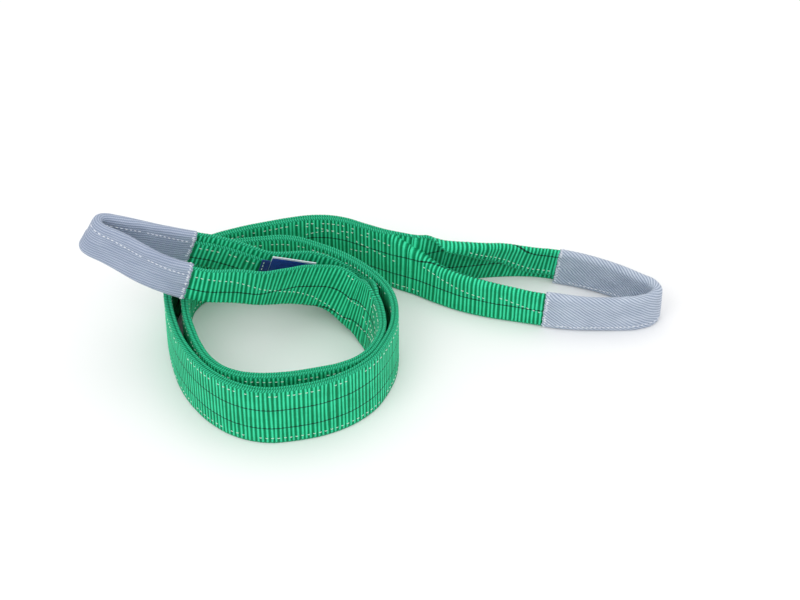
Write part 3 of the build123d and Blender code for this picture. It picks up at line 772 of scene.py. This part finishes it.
# ------------------------------------------------------------------- the pieces of web
def root_lean(d):
    """Where the coil's inner end stands with its foot drawn in: share of the full lean."""
    return table(d, [(-110, 0.0), (-45, 1.0), (400, 1.0)])


def place_ring(s, x, y, high):
    bow = 0.5 * np.sin(s / 61.0 + 1.0) + 0.35 * np.sin(s / 23.0)
    fade = ease(s / 60.0) * ease((RING_END - s) / 60.0)
    foot = root_lean(-s)
    return np.full_like(s, 30.0), np.zeros_like(s), 0.012 * bow * fade + 0.15 * foot, -4.5 * foot


ring_tracks = {
    1: Track([run_of(ring, 0, RING_END, OFF)]),
    -1: Track([run_of(ring, 0, RING_END, -OFF)]),
}
CUT_1 = round((TAIL_AT - 40) / PITCH) * PITCH
CUT_2 = round((TAIL_AT + 25) / PITCH) * PITCH
ring_ply = {k: Ribbon(t, place_ring, side=-k) for k, t in ring_tracks.items()}

CUT_0 = 10 * PITCH
pieces = {}
for k, name in ((1, "ring_outer_web"), (-1, "ring_inner_web")):
    pieces[name] = web_mesh(name, ring_ply[k], CUT_0, CUT_1, WEB_MAT, shares=(6, 3, 6))
    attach(pieces[name], "coil")
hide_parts("ring_outer_ply")
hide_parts("ring_inner_ply")

# ------------------------------------------------------------------- the right eye
R_LEG_NEAR = R_NEAR      # length of each leg from the fork to the sleeve's mouth
R_LEG_FAR = RIGHT_END - R_FAR


def right_fold(s):
    d = np.asarray(s, float) - RING_END
    fa = math.pi * ease((d - 1) / 30.0)
    fr = table(d, [(0, 5.2), (45, 4.0), (85, 2.3), (110, 1.62)])
    fl = table(d, [(29, 2.0), (45, 6.0), (61, 10.5), (77, 14.5), (93, 20.0), (110, 24.2)])
    return fa, fr, fl


def right_near_fold(s):
    d = np.asarray(s, float) - RING_END
    fa = table(d, [(-26, 0.0), (-6, 1.7), (16, math.pi), (200, math.pi)])
    fr = table(d, [(-22, 4.4), (20, 4.4), (45, 3.8), (85, 2.3), (110, 1.62)])
    fl = table(d, [(-30, 1.8), (-10, 4.5), (8, 10.5), (26, 15.5), (45, 17.5), (61, 18.0), (93, 21.3), (112, 23.5)])
    return fa, fr, fl


def right_place(far):
    def place(s, x, y, high):
        d = np.asarray(s, float) - RING_END
        base = table(d, [(0, 0.0), (80, 0.6), (120, 0.7)])
        if far:
            lean_x = table(d, [(-30, 0.0), (15, 0.16), (60, 0.34), (110, 0.30), (R_LEG_FAR - 8, 0.16), (R_LEG_FAR + 20, 0.12)])
            lean_n = table(d, [(0, 0.0), (50, 0.05), (120, 0.02)])
            shift = table(d, [(-30, 0.0), (0, 2.0), (26, 2.5), (60, -1.0), (90, -1.0), (116, 0.0), (150, 0.0)])
        else:
            lean_x = table(d, [(-30, 0.0), (20, 0.02), (60, 0.0), (R_LEG_NEAR - 10, 0.04), (R_LEG_NEAR + 20, 0.08)])
            lean_n = table(d, [(-20, 0.0), (10, 0.10), (40, 0.08), (90, 0.03), (120, 0.0)])
            shift = table(d, [(-22, 0.0), (5, 2.6), (40, 1.0), (80, -1.2), (112, -1.0), (140, 0.0)])
        fade = ease((s - CUT_2) / 30.0)
        return base + high / 2 * (1 - 0.06 * np.abs(lean_x)) , lean_x * fade, lean_n * fade, shift * fade
    return place


near_pts = run_of(ring, CUT_2 - 60, RING_END - 3.0, -OFF)
near_loop = run_of(right, 2.0, R_NEAR + 30, 0.0, shift=RING_END)
far_pts = run_of(ring, CUT_2 - 60, RING_END - 3.0, OFF)
far_loop = run_of(right, R_FAR - 30, RIGHT_END - 2.0, 0.0, shift=RING_END, flip=RIGHT_END)
right_near = Ribbon(Track([near_pts, near_loop], rounds=3), right_place(False), right_near_fold, side=1)
right_far = Ribbon(Track([far_pts, far_loop], rounds=3), right_place(True), right_fold, side=-1)

JOINT_T = point_at(ring, TAIL_AT)


heading_f = (math.cos(point_at(ring, RING_END)[2]), math.sin(point_at(ring, RING_END)[2]))

for k, name, node in ((1, "tail_outer_web", "tail_outer_ply"), (-1, "tail_inner_web", "tail_inner_ply")):
    pieces[name] = web_mesh(name, ring_ply[k], CUT_1, CUT_2, WEB_MAT, shares=(6, 3, 6))
    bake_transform(pieces[name])
    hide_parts(node)

R_IN = 14.0
END_N = round((RING_END + R_NEAR + R_IN) / PITCH) * PITCH
END_F = round((RING_END + R_LEG_FAR + R_IN) / PITCH) * PITCH
pieces["right_near_leg"] = web_mesh("right_near_leg", right_near, CUT_2, END_N, WEB_MAT_B)
pieces["right_far_leg"] = web_mesh("right_far_leg", right_far, CUT_2, END_F, WEB_MAT_B)
for n in ("right_near_leg", "right_far_leg"):
    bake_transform(pieces[n])

# -------------------------------------------------------------------- the left eye
L_LEG_NEAR = L_NEAR
L_LEG_FAR = LEFT_END - L_FAR


def left_fold(s):
    d = np.asarray(s, float)
    fa = table(d, [(2, 0.0), (22, 1.2), (45, 2.4), (66, math.pi), (400, math.pi)])
    fr = table(d, [(0, 3.4), (69, 3.4), (105, 1.62)])
    fl = table(d, [(-40, 1.8), (10, 3.0), (30, 9.0), (45, 9.5), (66, 9.5), (85, 13.5), (100, 18.5), (118, 24.0)])
    return fa, fr, fl


def left_place(far):
    knee = FAR_KNEE if far else NEAR_KNEE
    leg = L_LEG_FAR if far else L_LEG_NEAR

    def place(s, x, y, high):
        d = np.asarray(s, float)
        p = ease((d - 90) / 50.0)
        z = soft_under(knee, x) * ease(d / 22.0) + high / 2 * (1 + 0.053 * p) + 1.35 * p
        foot = root_lean(d)
        if far:
            lean_x = table(d, [(0, 0.0), (22, 0.08), (60, 0.34), (110, 0.42), (leg - 10, 0.38), (leg + 20, 0.34)])
            lean_n = table(d, [(-400, -0.15), (0, -0.15), (40, -0.08), (100, -0.06), (leg, 0.0)])
            shift = table(d, [(-400, 4.5), (0, 4.5), (30, 1.0), (50, 0.0)])
            z = z + table(d, [(60, 0.0), (90, 2.5), (125, 0.0), (150, 1.0), (leg + 20, 1.0)])
        else:
            lean_x = table(d, [(0, 0.0), (16, 0.10), (45, 0.40), (95, 0.48), (118, 0.34), (138, 0.20), (leg - 6, 0.26), (leg + 20, 0.32)])
            lean_n = table(d, [(-400, -0.15), (0, -0.15), (30, -0.17), (130, -0.20), (leg, -0.08), (leg + 20, -0.06)])
            shift = table(d, [(-400, 4.5), (0, 4.5), (26, 4.0), (50, 0.0)])
            z = z - table(d, [(85, 0.0), (120, 2.2), (leg - 10, 2.2), (leg + 20, 1.2)])
            z = z + table(d, [(8, 0.0), (28, 3.0), (46, 3.6), (66, 0.0)])
        return z, lean_x, np.where(d < 0, lean_n * foot, lean_n), np.where(d < 0, shift * foot, shift)
    return place


left_near_track = Track([run_of(ring, 4.0, CUT_0 + 30, -OFF, flip=0.0), run_of(left, 4.0, L_NEAR + 30, 0.0)], rounds=16)
left_far_track = Track([run_of(ring, 4.0, CUT_0 + 30, OFF, flip=0.0), run_of(left, L_FAR - 30, LEFT_END - 4.0, 0.0, flip=LEFT_END)], rounds=16)
left_near = Ribbon(left_near_track, left_place(False), left_fold, side=-1, flip=True)
left_far = Ribbon(left_far_track, left_place(True), left_fold, side=1, flip=True)
L_IN = 14.0
ENDL_N = round((L_NEAR + L_IN) / PITCH) * PITCH
ENDL_F = round((L_LEG_FAR + L_IN) / PITCH) * PITCH
pieces["left_near_leg"] = web_mesh("left_near_leg", left_near, -CUT_0, ENDL_N, WEB_MAT_B)
pieces["left_far_leg"] = web_mesh("left_far_leg", left_far, -CUT_0, ENDL_F, WEB_MAT_B)
for n, node in (("left_near_leg", "left_eye_near_leg"), ("left_far_leg", "left_eye_far_leg")):
    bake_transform(pieces[n])
    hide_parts(node)


# ---------------------------------------------------------------- sleeves and bights
def tip_out(run):
    """The left bight reaches 3 mm further than the middle line of its track."""
    pts, par = run
    return [(x - 3.0 * float(ease((-212.0 - x) / 26.0)), y) for x, y in pts], par


def bight_fold(s):
    s = np.asarray(s, float)
    return np.full_like(s, math.pi), np.full_like(s, 1.25), np.full_like(s, 26.5)


def left_eye_place(s, x, y, high):
    """Centre height and lean of the sleeved loop, which lies on one slope."""
    s = np.asarray(s, float)
    mid = (L_NEAR + L_FAR) / 2
    half_run = (L_FAR - L_NEAR) / 2
    q = (s - L_NEAR) / (L_FAR - L_NEAR)
    z = LEVEL + CLIMB * (X_LEVEL - x) + 18.27
    lean_x = table(q, [(-0.1, 0.29), (0.0, 0.30), (0.30, 0.38), (0.45, 0.52), (0.55, 0.52), (0.70, 0.42), (1.0, 0.36), (1.1, 0.36)])
    lean_n = table(q, [(-0.1, -0.07), (0.0, -0.07), (0.3, -0.03), (0.5, 0.0), (1.0, 0.0)])
    z = z + table(q, [(-0.1, -1.4), (0.0, -1.4), (0.35, 0.0), (0.65, 0.5), (1.0, 1.8), (1.1, 1.8)])
    return z, lean_x, lean_n, np.zeros_like(s)


def right_eye_place(s, x, y, high):
    s = np.asarray(s, float)
    q = (s - R_NEAR) / (R_FAR - R_NEAR)
    z = np.full_like(s, 17.35)
    lean_x = table(q, [(-0.1, 0.07), (0.0, 0.07), (0.35, 0.04), (0.5, 0.02), (0.7, 0.06), (1.0, 0.14), (1.1, 0.14)])
    z = z + table(q, [(-0.1, 0.6), (0.0, 0.6), (0.4, 0.3), (1.1, 0.3)])
    return z, lean_x, np.zeros_like(s), table(q, [(-0.1, -0.8), (0.0, -0.8), (0.3, -0.8), (0.42, 0.0), (1.1, 0.0)])


left_bight = Ribbon(Track([tip_out(run_of(left, L_NEAR - 10, L_FAR + 10, 0.0))]), left_eye_place, bight_fold, side=-1, flip=True)
right_bight = Ribbon(Track([run_of(right, R_NEAR - 10, R_FAR + 10, 0.0)]), right_eye_place, bight_fold, side=1)
pieces["left_bight_web"] = web_mesh("left_bight_web", left_bight, round((L_NEAR + L_IN + 3) / PITCH) * PITCH, round((L_FAR - L_IN - 3) / PITCH) * PITCH, WEB_MAT_B, shares=(5, 5, 5), relief=0.3, ply=2.2)
pieces["right_bight_web"] = web_mesh("right_bight_web", right_bight, round((R_NEAR + R_IN + 3) / PITCH) * PITCH, round((R_FAR - R_IN - 3) / PITCH) * PITCH, WEB_MAT_B, shares=(5, 5, 5), relief=0.3, ply=2.2)
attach(pieces["left_bight_web"], "left_eye")
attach(pieces["right_bight_web"], "right_eye")
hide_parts("left_eye_web")
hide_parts("right_eye_web")


class Sleeve:
    """A flattened tube of cloth round the folded web; section points run round it by angle share c in 0..1."""

    def __init__(self, track, place, s0, s1, dents, seed, half=4.6, tall=18.3):
        self.r = Ribbon(track, place)
        self.s0, self.s1, self.dents, self.half, self.tall = s0, s1, dents, half, tall
        rs = np.random.RandomState(seed)
        self.waves = [(rs.uniform(0.03, 0.16), rs.uniform(-0.30, 0.30), rs.uniform(0, 6.28), rs.normal(0, 0.10)) for _ in range(16)]
        self.straight = 2 * (tall - half)
        self.arc = math.pi * half
        self.total = 2 * (self.straight + self.arc)

    def outline(self, c):
        """Sideways, up and normal of the plain section, c in millimetres round it from the middle of the + side, going up."""
        c = np.mod(c, self.total)
        hs = self.straight / 2
        a = np.zeros_like(c)
        b = np.zeros_like(c)
        na = np.zeros_like(c)
        nb = np.zeros_like(c)
        k = c < hs
        a[k], b[k], na[k] = self.half, c[k], 1
        k = (c >= hs) & (c < hs + self.arc)
        q = (c[k] - hs) / self.half
        a[k], b[k], na[k], nb[k] = self.half * np.cos(q), hs + self.half * np.sin(q), np.cos(q), np.sin(q)
        k = (c >= hs + self.arc) & (c < 3 * hs + self.arc)
        a[k], b[k], na[k] = -self.half, hs - (c[k] - hs - self.arc), -1
        k = (c >= 3 * hs + self.arc) & (c < 3 * hs + 2 * self.arc)
        q = (c[k] - 3 * hs - self.arc) / self.half
        a[k], b[k], na[k], nb[k] = -self.half * np.cos(q), -hs - self.half * np.sin(q), -np.cos(q), -np.sin(q)
        k = c >= 3 * hs + 2 * self.arc
        a[k], b[k], na[k] = self.half, -hs + (c[k] - 3 * hs - 2 * self.arc), 1
        return a, b, na, nb

    def points(self, s, c, off=0.0):
        s, c = np.broadcast_arrays(np.asarray(s, float), np.asarray(c, float))
        shape = s.shape
        s, c = s.ravel(), c.ravel()
        a, b, na, nb = self.outline(c)
        o, up, side, along = self.r.frame(s, np.zeros_like(s))
        push = np.zeros_like(s)
        for ks, kc, ph, amp in self.waves:
            push += amp * np.sin(s * ks + c * kc * 2 * math.pi / self.total * round(self.total / 12) + ph)
        for ds, dc, rs_, rc, depth in self.dents:
            dd = np.abs(np.mod(c - dc + self.total / 2, self.total) - self.total / 2)
            push -= depth * np.exp(-((s - ds) / rs_) ** 2 - (dd / rc) ** 2)
        push = np.clip(push, -1.6, 0.9)
        p = o + side * (a + na * (push + off))[:, None] + up * (b + nb * (push + off))[:, None]
        nv = side * na[:, None] + up * nb[:, None]
        return p.reshape(*shape, 3), nv.reshape(*shape, 3)

    def mesh(self, name, mat, wall=0.95):
        x, y, tx, ty = self.r.track.at(np.linspace(self.s0, self.s1, 400))
        ss = [self.s0]
        step = 1.6
        while ss[-1] < self.s1 - 0.8:
            ss.append(ss[-1] + step)
        ss = np.linspace(self.s0, self.s1, len(ss))
        hs = self.straight / 2
        cs = []
        for a0, a1, n in ((0, hs, 7), (hs, hs + self.arc, 9), (hs + self.arc, 3 * hs + self.arc, 14), (3 * hs + self.arc, 3 * hs + 2 * self.arc, 9), (3 * hs + 2 * self.arc, self.total, 7)):
            cs += list(np.linspace(a0, a1, n, endpoint=False))
        cs = np.array(cs)
        S, C = np.meshgrid(ss, cs, indexing="ij")
        outer, _ = self.points(S, C)
        inner, _ = self.points(S, C, -wall)
        n, m = len(ss), len(cs)
        # ragged mouths
        rs = np.random.RandomState(3)
        for e, sgn in ((0, -1), (n - 1, 1)):
            _, _, _, along = self.r.frame(np.array([ss[e]]), np.zeros(1))
            rag = np.array([0.35 * math.sin(q * 1.7) + rs.normal(0, 0.12) for q in range(m)])
            outer[e] += along[0] * (sgn * rag)[:, None]
            inner[e] += along[0] * (sgn * rag)[:, None]
        V = np.concatenate([outer.reshape(-1, 3), inner.reshape(-1, 3)])
        faces = []
        for i in range(n - 1):
            for j in range(m):
                j2 = (j + 1) % m
                faces.append((i * m + j, (i + 1) * m + j, (i + 1) * m + j2, i * m + j2))
                o = n * m
                faces.append((o + i * m + j, o + i * m + j2, o + (i + 1) * m + j2, o + (i + 1) * m + j))
        for j in range(m):
            j2 = (j + 1) % m
            o = n * m
            faces.append((j, j2, o + j2, o + j))
            i = (n - 1) * m
            faces.append((i + j, o + i + j, o + i + j2, i + j2))
        obj = new_object(name, V, faces, mat)
        su, cu = np.concatenate([S.ravel(), S.ravel()]), np.concatenate([C.ravel(), C.ravel()])
        uv = []
        for f in faces:
            cc = [cu[v] for v in f]
            if max(cc) - min(cc) > self.total / 2:
                cc = [q + self.total if q < self.total / 2 else q for q in cc]
            uv += [(su[v] / 1000, q / 1000) for v, q in zip(f, cc)]
        layer = obj.data.uv_layers.new(name="UVMap")
        layer.data.foreach_set("uv", np.array(uv, np.float32).ravel())
        fix_normals(obj)
        return obj

    def seam(self, c, pitch=3.6, length=2.5, seed=1, inset=5.0, skip=0.06):
        r = np.random.RandomState(seed)
        found = []
        s = self.s0 + inset
        while s + length < self.s1 - inset:
            if r.rand() > skip:
                ss = np.linspace(s, s + length * r.uniform(0.85, 1.1), 5)
                cc = c + 0.35 * math.sin(s / 19.0) + r.normal(0, 0.08)
                p, nv = self.points(ss, np.full(5, cc))
                rise = np.array([-0.45, 0.12, 0.2, 0.12, -0.45])
                found.append((p + nv * rise[:, None], nv))
            s += pitch * r.uniform(0.95, 1.05)
        return found

    def whip(self, at_start, seed=1, every=1.9):
        """Short stitches round a mouth."""
        r = np.random.RandomState(seed)
        found = []
        sgn = 1 if at_start else -1
        edge = self.s0 if at_start else self.s1
        c = 0.0
        while c < self.total - 0.5:
            if r.rand() > 0.16:
                a = edge + sgn * r.uniform(0.4, 1.3)
                b = a + sgn * r.uniform(1.6, 2.9)
                ss = np.linspace(a, b, 5)
                cc = np.linspace(c, c + r.uniform(-0.9, 1.3), 5)
                p, nv = self.points(ss, cc)
                rise = np.array([-0.4, 0.12, 0.22, 0.12, -0.4])
                found.append((p + nv * rise[:, None], nv))
            c += every * r.uniform(0.8, 1.2)
        return found


# side + of a section is to the left of the run: outside of the left loop (it turns
# right), inside of the right loop (it turns left)
def inner_c(sl, b, plus_is_outer):
    """Not filled in: returns None, and sl, b and plus_is_outer are not used."""
    return None


left_sleeve = Sleeve(
    Track([tip_out(run_of(left, L_NEAR - 6, L_FAR + 6, 0.0))]), left_eye_place, L_NEAR, L_FAR,
    [
        (L_NEAR + 0.30 * (L_FAR - L_NEAR), 6.0, 16.0, 7.0, 0.55),
        (L_FAR - 62, 53.0, 7.0, 9.0, 1.1),
        (L_FAR - 86, 50.0, 5.0, 7.0, 1.0),
        (L_FAR - 30, 55.0, 12.0, 8.0, 0.6),
        (L_NEAR + 60, 0.0, 10.0, 8.0, 0.35),
    ], 11)
right_sleeve = Sleeve(
    Track([run_of(right, R_NEAR - 6, R_FAR + 6, 0.0)]), right_eye_place, R_NEAR, R_FAR,
    [
        (R_FAR - 38, 2.0, 7.0, 9.0, 1.1),
        (R_FAR - 66, -3.0, 6.0, 9.0, 1.2),
        (R_FAR - 98, 0.0, 7.0, 10.0, 1.2),
        (R_NEAR + 88, 52.0, 8.0, 8.0, 0.9),
        (R_NEAR + 40, 50.0, 14.0, 9.0, 0.45),
    ], 12)
pieces["left_sleeve"] = left_sleeve.mesh("left_sleeve", SLEEVE_L)
pieces["right_sleeve"] = right_sleeve.mesh("right_sleeve", SLEEVE_R)
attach(pieces["left_sleeve"], "left_eye")
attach(pieces["right_sleeve"], "right_eye")
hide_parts("left_eye_sleeve")
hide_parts("right_eye_sleeve")


def threads(name, stitches, body=None, node=None, mat=None, radius=0.36):
    obj = thread_mesh(name, stitches, mat or THREAD, radius)
    if body:
        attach(obj, body)
    else:
        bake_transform(obj)
    if node:
        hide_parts(node)
    pieces[name] = obj
    return obj


# seam on both faces; c is measured from the middle of the + side, going up
hs_ = left_sleeve.straight / 2
c_plus = left_sleeve.tall - 8.0
c_minus = 2 * hs_ + left_sleeve.arc - c_plus
threads("left_sleeve_seam_thread", left_sleeve.seam(c_plus, seed=1) + left_sleeve.seam(c_minus, seed=2), body="left_eye", node="left_sleeve_seam", mat=SLEEVE_THREAD, radius=0.42)
threads("left_sleeve_mouth_thread", left_sleeve.whip(True, 5) + left_sleeve.whip(False, 6), body="left_eye", node="left_sleeve_mouth_stitching", mat=SLEEVE_THREAD, radius=0.42)
c_plus = -(right_sleeve.tall - 5.8)
c_minus = 2 * hs_ + right_sleeve.arc - c_plus
threads("right_sleeve_seam_thread", right_sleeve.seam(c_plus, seed=3) + right_sleeve.seam(c_minus, seed=4), body="right_eye", node="right_sleeve_seam", mat=SLEEVE_THREAD, radius=0.42)
threads("right_sleeve_mouth_thread", right_sleeve.whip(True, 7) + right_sleeve.whip(False, 8), body="right_eye", node="right_sleeve_mouth_stitching", mat=SLEEVE_THREAD, radius=0.42)

# ------------------------------------------------------------------ rows of stitches
# face +1 is the face that the ply shows: away from the other ply
edge_rows = []
for k in (1, -1):
    for w in (6.0, 54.0):
        edge_rows += row(ring_ply[k], 3.0, CUT_1 - 1.0, w, 1, seed=10 + k + int(w))
threads("ring_edge_thread", edge_rows, body="coil", node="ring_edge_stitching")
tail_rows = []
for k in (1, -1):
    for w in (6.0, 54.0):
        tail_rows += row(ring_ply[k], CUT_1 + 1.5, CUT_2 - 1.0, w, 1, seed=20 + k + int(w))
for pairs_, seed_ in (
    ([(RING_END - 98, 52.0), (RING_END - 90, 50.0), (RING_END - 61, 43.2), (RING_END - 37, 38.0)], 31),
    ([(RING_END - 98, 42.0), (RING_END - 90, 44.0), (RING_END - 51, 50.0), (RING_END - 37, 50.5)], 32),
    ([(RING_END - 56, 29.8), (RING_END - 46, 31.0), (RING_END - 38, 33.0)], 33),
):
    tail_rows += row(ring_ply[-1], pairs_[0][0], pairs_[-1][0], (lambda q, p=pairs_: float(table(q, p))), 1, seed=seed_, wander=0.15)
threads("tail_edge_thread", tail_rows, node="tail_edge_stitching")

# rows that cross each other where the plies are spliced beside each fork
splice_l = []
for k, rows_ in ((1, [(6, 70, 14, 44), (10, 66, 46, 16), (4, 40, 30, 40)]), (-1, [(4, 64, 50, 22), (8, 60, 18, 40), (30, 74, 44, 30), (5, 34, 34, 24)])):
    for i, (s0, s1, w0, w1) in enumerate(rows_):
        f = lambda s, s0=s0, s1=s1, w0=w0, w1=w1: w0 + (w1 - w0) * (s - s0) / (s1 - s0)
        splice_l += row(ring_ply[k], s0, s1, f, 1, pitch=4.6, length=2.6, seed=40 + i + 10 * k, wander=0.2)
threads("left_splice_thread", splice_l, body="coil", node="left_splice_stitching")

splice_r = []
for ribbon_, pairs_, seed_ in (
    (right_near, [(RING_END - 33, 37.0), (RING_END - 22, 34.0), (RING_END - 8, 31.0)], 61),
    (right_near, [(RING_END - 33, 50.0), (RING_END - 24, 49.5), (RING_END - 14, 47.0)], 62),
    (right_near, [(RING_END - 33, 5.5), (RING_END - 10, 6.0), (RING_END + 12, 6.5)], 63),
    (right_far, [(RING_END - 33, 38.0), (RING_END - 10, 30.0), (RING_END + 20, 20.0)], 64),
    (right_far, [(RING_END - 33, 24.0), (RING_END - 10, 33.0), (RING_END + 8, 38.0)], 65),
):
    splice_r += row(ribbon_, pairs_[0][0], pairs_[-1][0], (lambda q, p=pairs_: float(table(q, p))), 1, pitch=4.6, length=2.7, seed=seed_, wander=0.2)
threads("right_splice_thread", splice_r, node="right_splice_stitching")

def along(pairs):
    """Width of a row that runs across the web, from (running number, width) pairs."""
    return lambda q: float(table(q, pairs))


def drawn(ribbon, pairs, seed, face=1, **more):
    return row(ribbon, pairs[0][0], pairs[-1][0], along(pairs), face, seed=seed, wander=0.12, skip=0.03, **more)


E = RING_END
leg_rows = drawn(right_near, [(E + 13, 34.0), (E + 35, 27.8), (E + 50, 24.0), (E + 74, 20.8)], 71)
leg_rows += drawn(right_near, [(E + 86, 25.5), (E + 104, 20.5), (E + R_NEAR - 2, 15.0)], 72)
leg_rows += drawn(right_far, [(E - 4, 52.5), (E + 11, 43.2), (E + 34, 31.0), (E + 42, 28.5)], 73)
leg_rows += row(right_far, E + 46, E + R_LEG_FAR - 2, 54.5, 1, seed=74, skip=0.08)
leg_rows += row(right_near, E + 40, E + R_LEG_NEAR - 2, 54.0, 1, seed=75) + row(right_far, E + 10, E + R_LEG_FAR - 2, 6.0, 1, seed=76)
threads("right_leg_thread", leg_rows)
leg_rows = drawn(left_near, [(-CUT_0 + 2, 34.0), (-18, 37.5), (4, 43.2), (18, 45.0), (33, 42.0), (49, 39.4), (59, 35.8), (69, 31.2), (94, 25.2), (120, 16.4), (145, 11.2), (162, 9.4), (L_LEG_NEAR - 3, 8.6)], 81)
leg_rows += row(left_near, -CUT_0 + 2, 44.0, 4.6, 1, seed=82, skip=0.3)
leg_rows += drawn(left_near, [(6, 22.0), (20, 26.0), (27, 24.2), (38, 21.8)], 85)
leg_rows += drawn(left_near, [(-CUT_0 + 2, 26.8), (-19, 32.0), (-8, 34.0), (9, 30.5)], 86)
leg_rows += row(left_near, 70, L_LEG_NEAR - 2, 54.0, 1, seed=87)
leg_rows += row(left_far, 60, L_LEG_FAR - 2, 6.5, 1, seed=83) + row(left_far, 84, L_LEG_FAR - 2, 54.0, 1, seed=84)
threads("left_leg_thread", leg_rows)

# ---------------------------------------------------------------------------- label
tilt, turn = math.radians(-18.0), math.radians(9.0)
LX = np.array([math.cos(turn) * math.cos(tilt), math.sin(turn) * math.cos(tilt), math.sin(tilt)])
LZ = np.array([math.sin(turn), -math.cos(turn), 0.0])
LY = np.cross(LZ, LX)
LO = np.array([-97.3, 38.0, 47.0]) - 3.4 * LX


def label_sheet(name, x0, x1, y0, y1, z, thick, mat, curl=0.0, nx=20, ny=14, hem=0.0):
    us = np.linspace(x0, x1, nx)
    vs = np.linspace(y0, y1, ny)
    U, V = np.meshgrid(us, vs, indexing="ij")
    free = np.clip(U, 0, None) / 38.0
    bend = curl * (0.20 * free * free * np.sin(V / 27.0 * 3.0 + 0.4) + 0.12 * np.sin(U / 7.0 + V / 9.0) * ease(U / 10.0))
    top = z + thick + bend + hem * (np.exp(-((V - y1) / 1.2) ** 2))
    low = z + bend
    P = lambda Z: LO + U[..., None] * LX + V[..., None] * LY + Z[..., None] * LZ
    A, B = P(top), P(low + 0 * top)
    n, m = U.shape
    verts = np.concatenate([A.reshape(-1, 3), B.reshape(-1, 3)])
    faces = []
    o = n * m
    for i in range(n - 1):
        for j in range(m - 1):
            q = (i * m + j, (i + 1) * m + j, (i + 1) * m + j + 1, i * m + j + 1)
            faces.append(q)
            faces.append(tuple(o + r for r in q[::-1]))
    edge = [i * m for i in range(n)] + [(n - 1) * m + j for j in range(1, m)] + [i * m + m - 1 for i in range(n - 2, -1, -1)] + [j for j in range(m - 2, 0, -1)]
    for a, b in zip(edge, edge[1:] + edge[:1]):
        faces.append((a, o + a, o + b, b))
    obj = new_object(name, verts, faces, mat, smooth_faces=False)
    add_uv(obj, np.concatenate([U.ravel()] * 2) / 1000, np.concatenate([V.ravel()] * 2) / 1000)
    fix_normals(obj)
    return obj


pieces["label_blue_face"] = label_sheet("label_blue_face", 0.6, 38.6, 0.2, 26.0, 0.06, 0.42, LABEL_BLUE, curl=1.0)
pieces["label_white_back"] = label_sheet("label_white_back", 0.4, 39.4, 0.0, 27.8, -0.46, 0.46, LABEL_WHITE, curl=1.0, hem=0.55)
pieces["label_sewn_tab"] = label_sheet("label_sewn_tab", -7.6, 0.0, 0.0, 22.5, -0.5, 1.0, LABEL_TAB, curl=0.0, nx=8)
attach(pieces["label_blue_face"], "label")
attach(pieces["label_white_back"], "label")
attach(pieces["label_sewn_tab"], "coil")
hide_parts("label_face")
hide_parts("label_backing")
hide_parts("label_tab")
label_st = []
for col in (-5.6,):
    v = 1.5
    while v < 19:
        q = np.linspace(v, v + 2.3, 5)
        pts = LO + np.outer(np.full(5, col), LX) + np.outer(q, LY) + np.outer(0.5 + np.array([-0.3, 0.2, 0.3, 0.2, -0.3]), LZ)
        label_st.append((pts, np.tile(LZ, (5, 1))))
        v += 3.4
threads("label_thread", label_st, body="coil", node="label_stitching", radius=0.32)

# ------------------------------------------------------------------------ the studio
bpy.ops.mesh.primitive_plane_add(size=8.0, location=(0, 0, 0))
floor = bpy.context.object
floor.name = "floor"
fm = Mat("studio_floor")
fn = fm.noise(fm.node("ShaderNodeTexCoord").outputs["Object"], 3.0, 2.0, 0.5)
fm.link(fm.ramp(fn, [(0.3, (0.93, 0.93, 0.93, 1)), (0.7, (0.95, 0.95, 0.95, 1))]), fm.bsdf.inputs["Base Color"])
fm.bsdf.inputs["Roughness"].default_value = 0.85
fm.bsdf.inputs["Specular IOR Level"].default_value = 0.1
floor.data.materials.append(fm.mat)

world = bpy.data.worlds.new("studio") if bpy.context.scene.world is None else bpy.context.scene.world
bpy.context.scene.world = world
world.use_nodes = True
bg = world.node_tree.nodes.get("Background") or world.node_tree.nodes.new("ShaderNodeBackground")
bg.inputs[0].default_value = (1.0, 1.0, 1.0, 1.0)
bg.inputs[1].default_value = 0.92
bpy.context.scene.view_settings.view_transform = "Standard"


def area(name, loc, target, size, power, colour=(1, 1, 1)):
    data = bpy.data.lights.new(name, "AREA")
    data.shape = "SQUARE"
    data.size = size
    data.energy = power
    data.color = colour
    obj = bpy.data.objects.new(name, data)
    bpy.context.scene.collection.objects.link(obj)
    obj.location = loc
    d = Vector(target) - Vector(loc)
    obj.rotation_euler = d.to_track_quat("-Z", "Y").to_euler()
    return obj


area("key", (-0.9, -1.1, 1.7), (0, 0, 0.03), 1.2, 9.0)
area("fill", (1.3, -0.6, 1.2), (0, 0, 0.03), 1.4, 2.5)
area("top", (0.1, 0.6, 1.9), (0, 0, 0.0), 1.4, 3.5)

cam_data = bpy.data.cameras.new("camera")
cam = bpy.data.objects.new("camera", cam_data)
bpy.context.scene.collection.objects.link(cam)
cam.location = (0.01705, -1.5809, 1.4578)
cam.rotation_euler = (math.radians(48.5), 0, 0)
cam_data.lens = 112.0
cam_data.sensor_width = 36.0
cam_data.clip_start = 0.05
cam_data.clip_end = 50.0
cam_data.dof.use_dof = False
bpy.context.scene.camera = cam

bpy.context.view_layer.update()
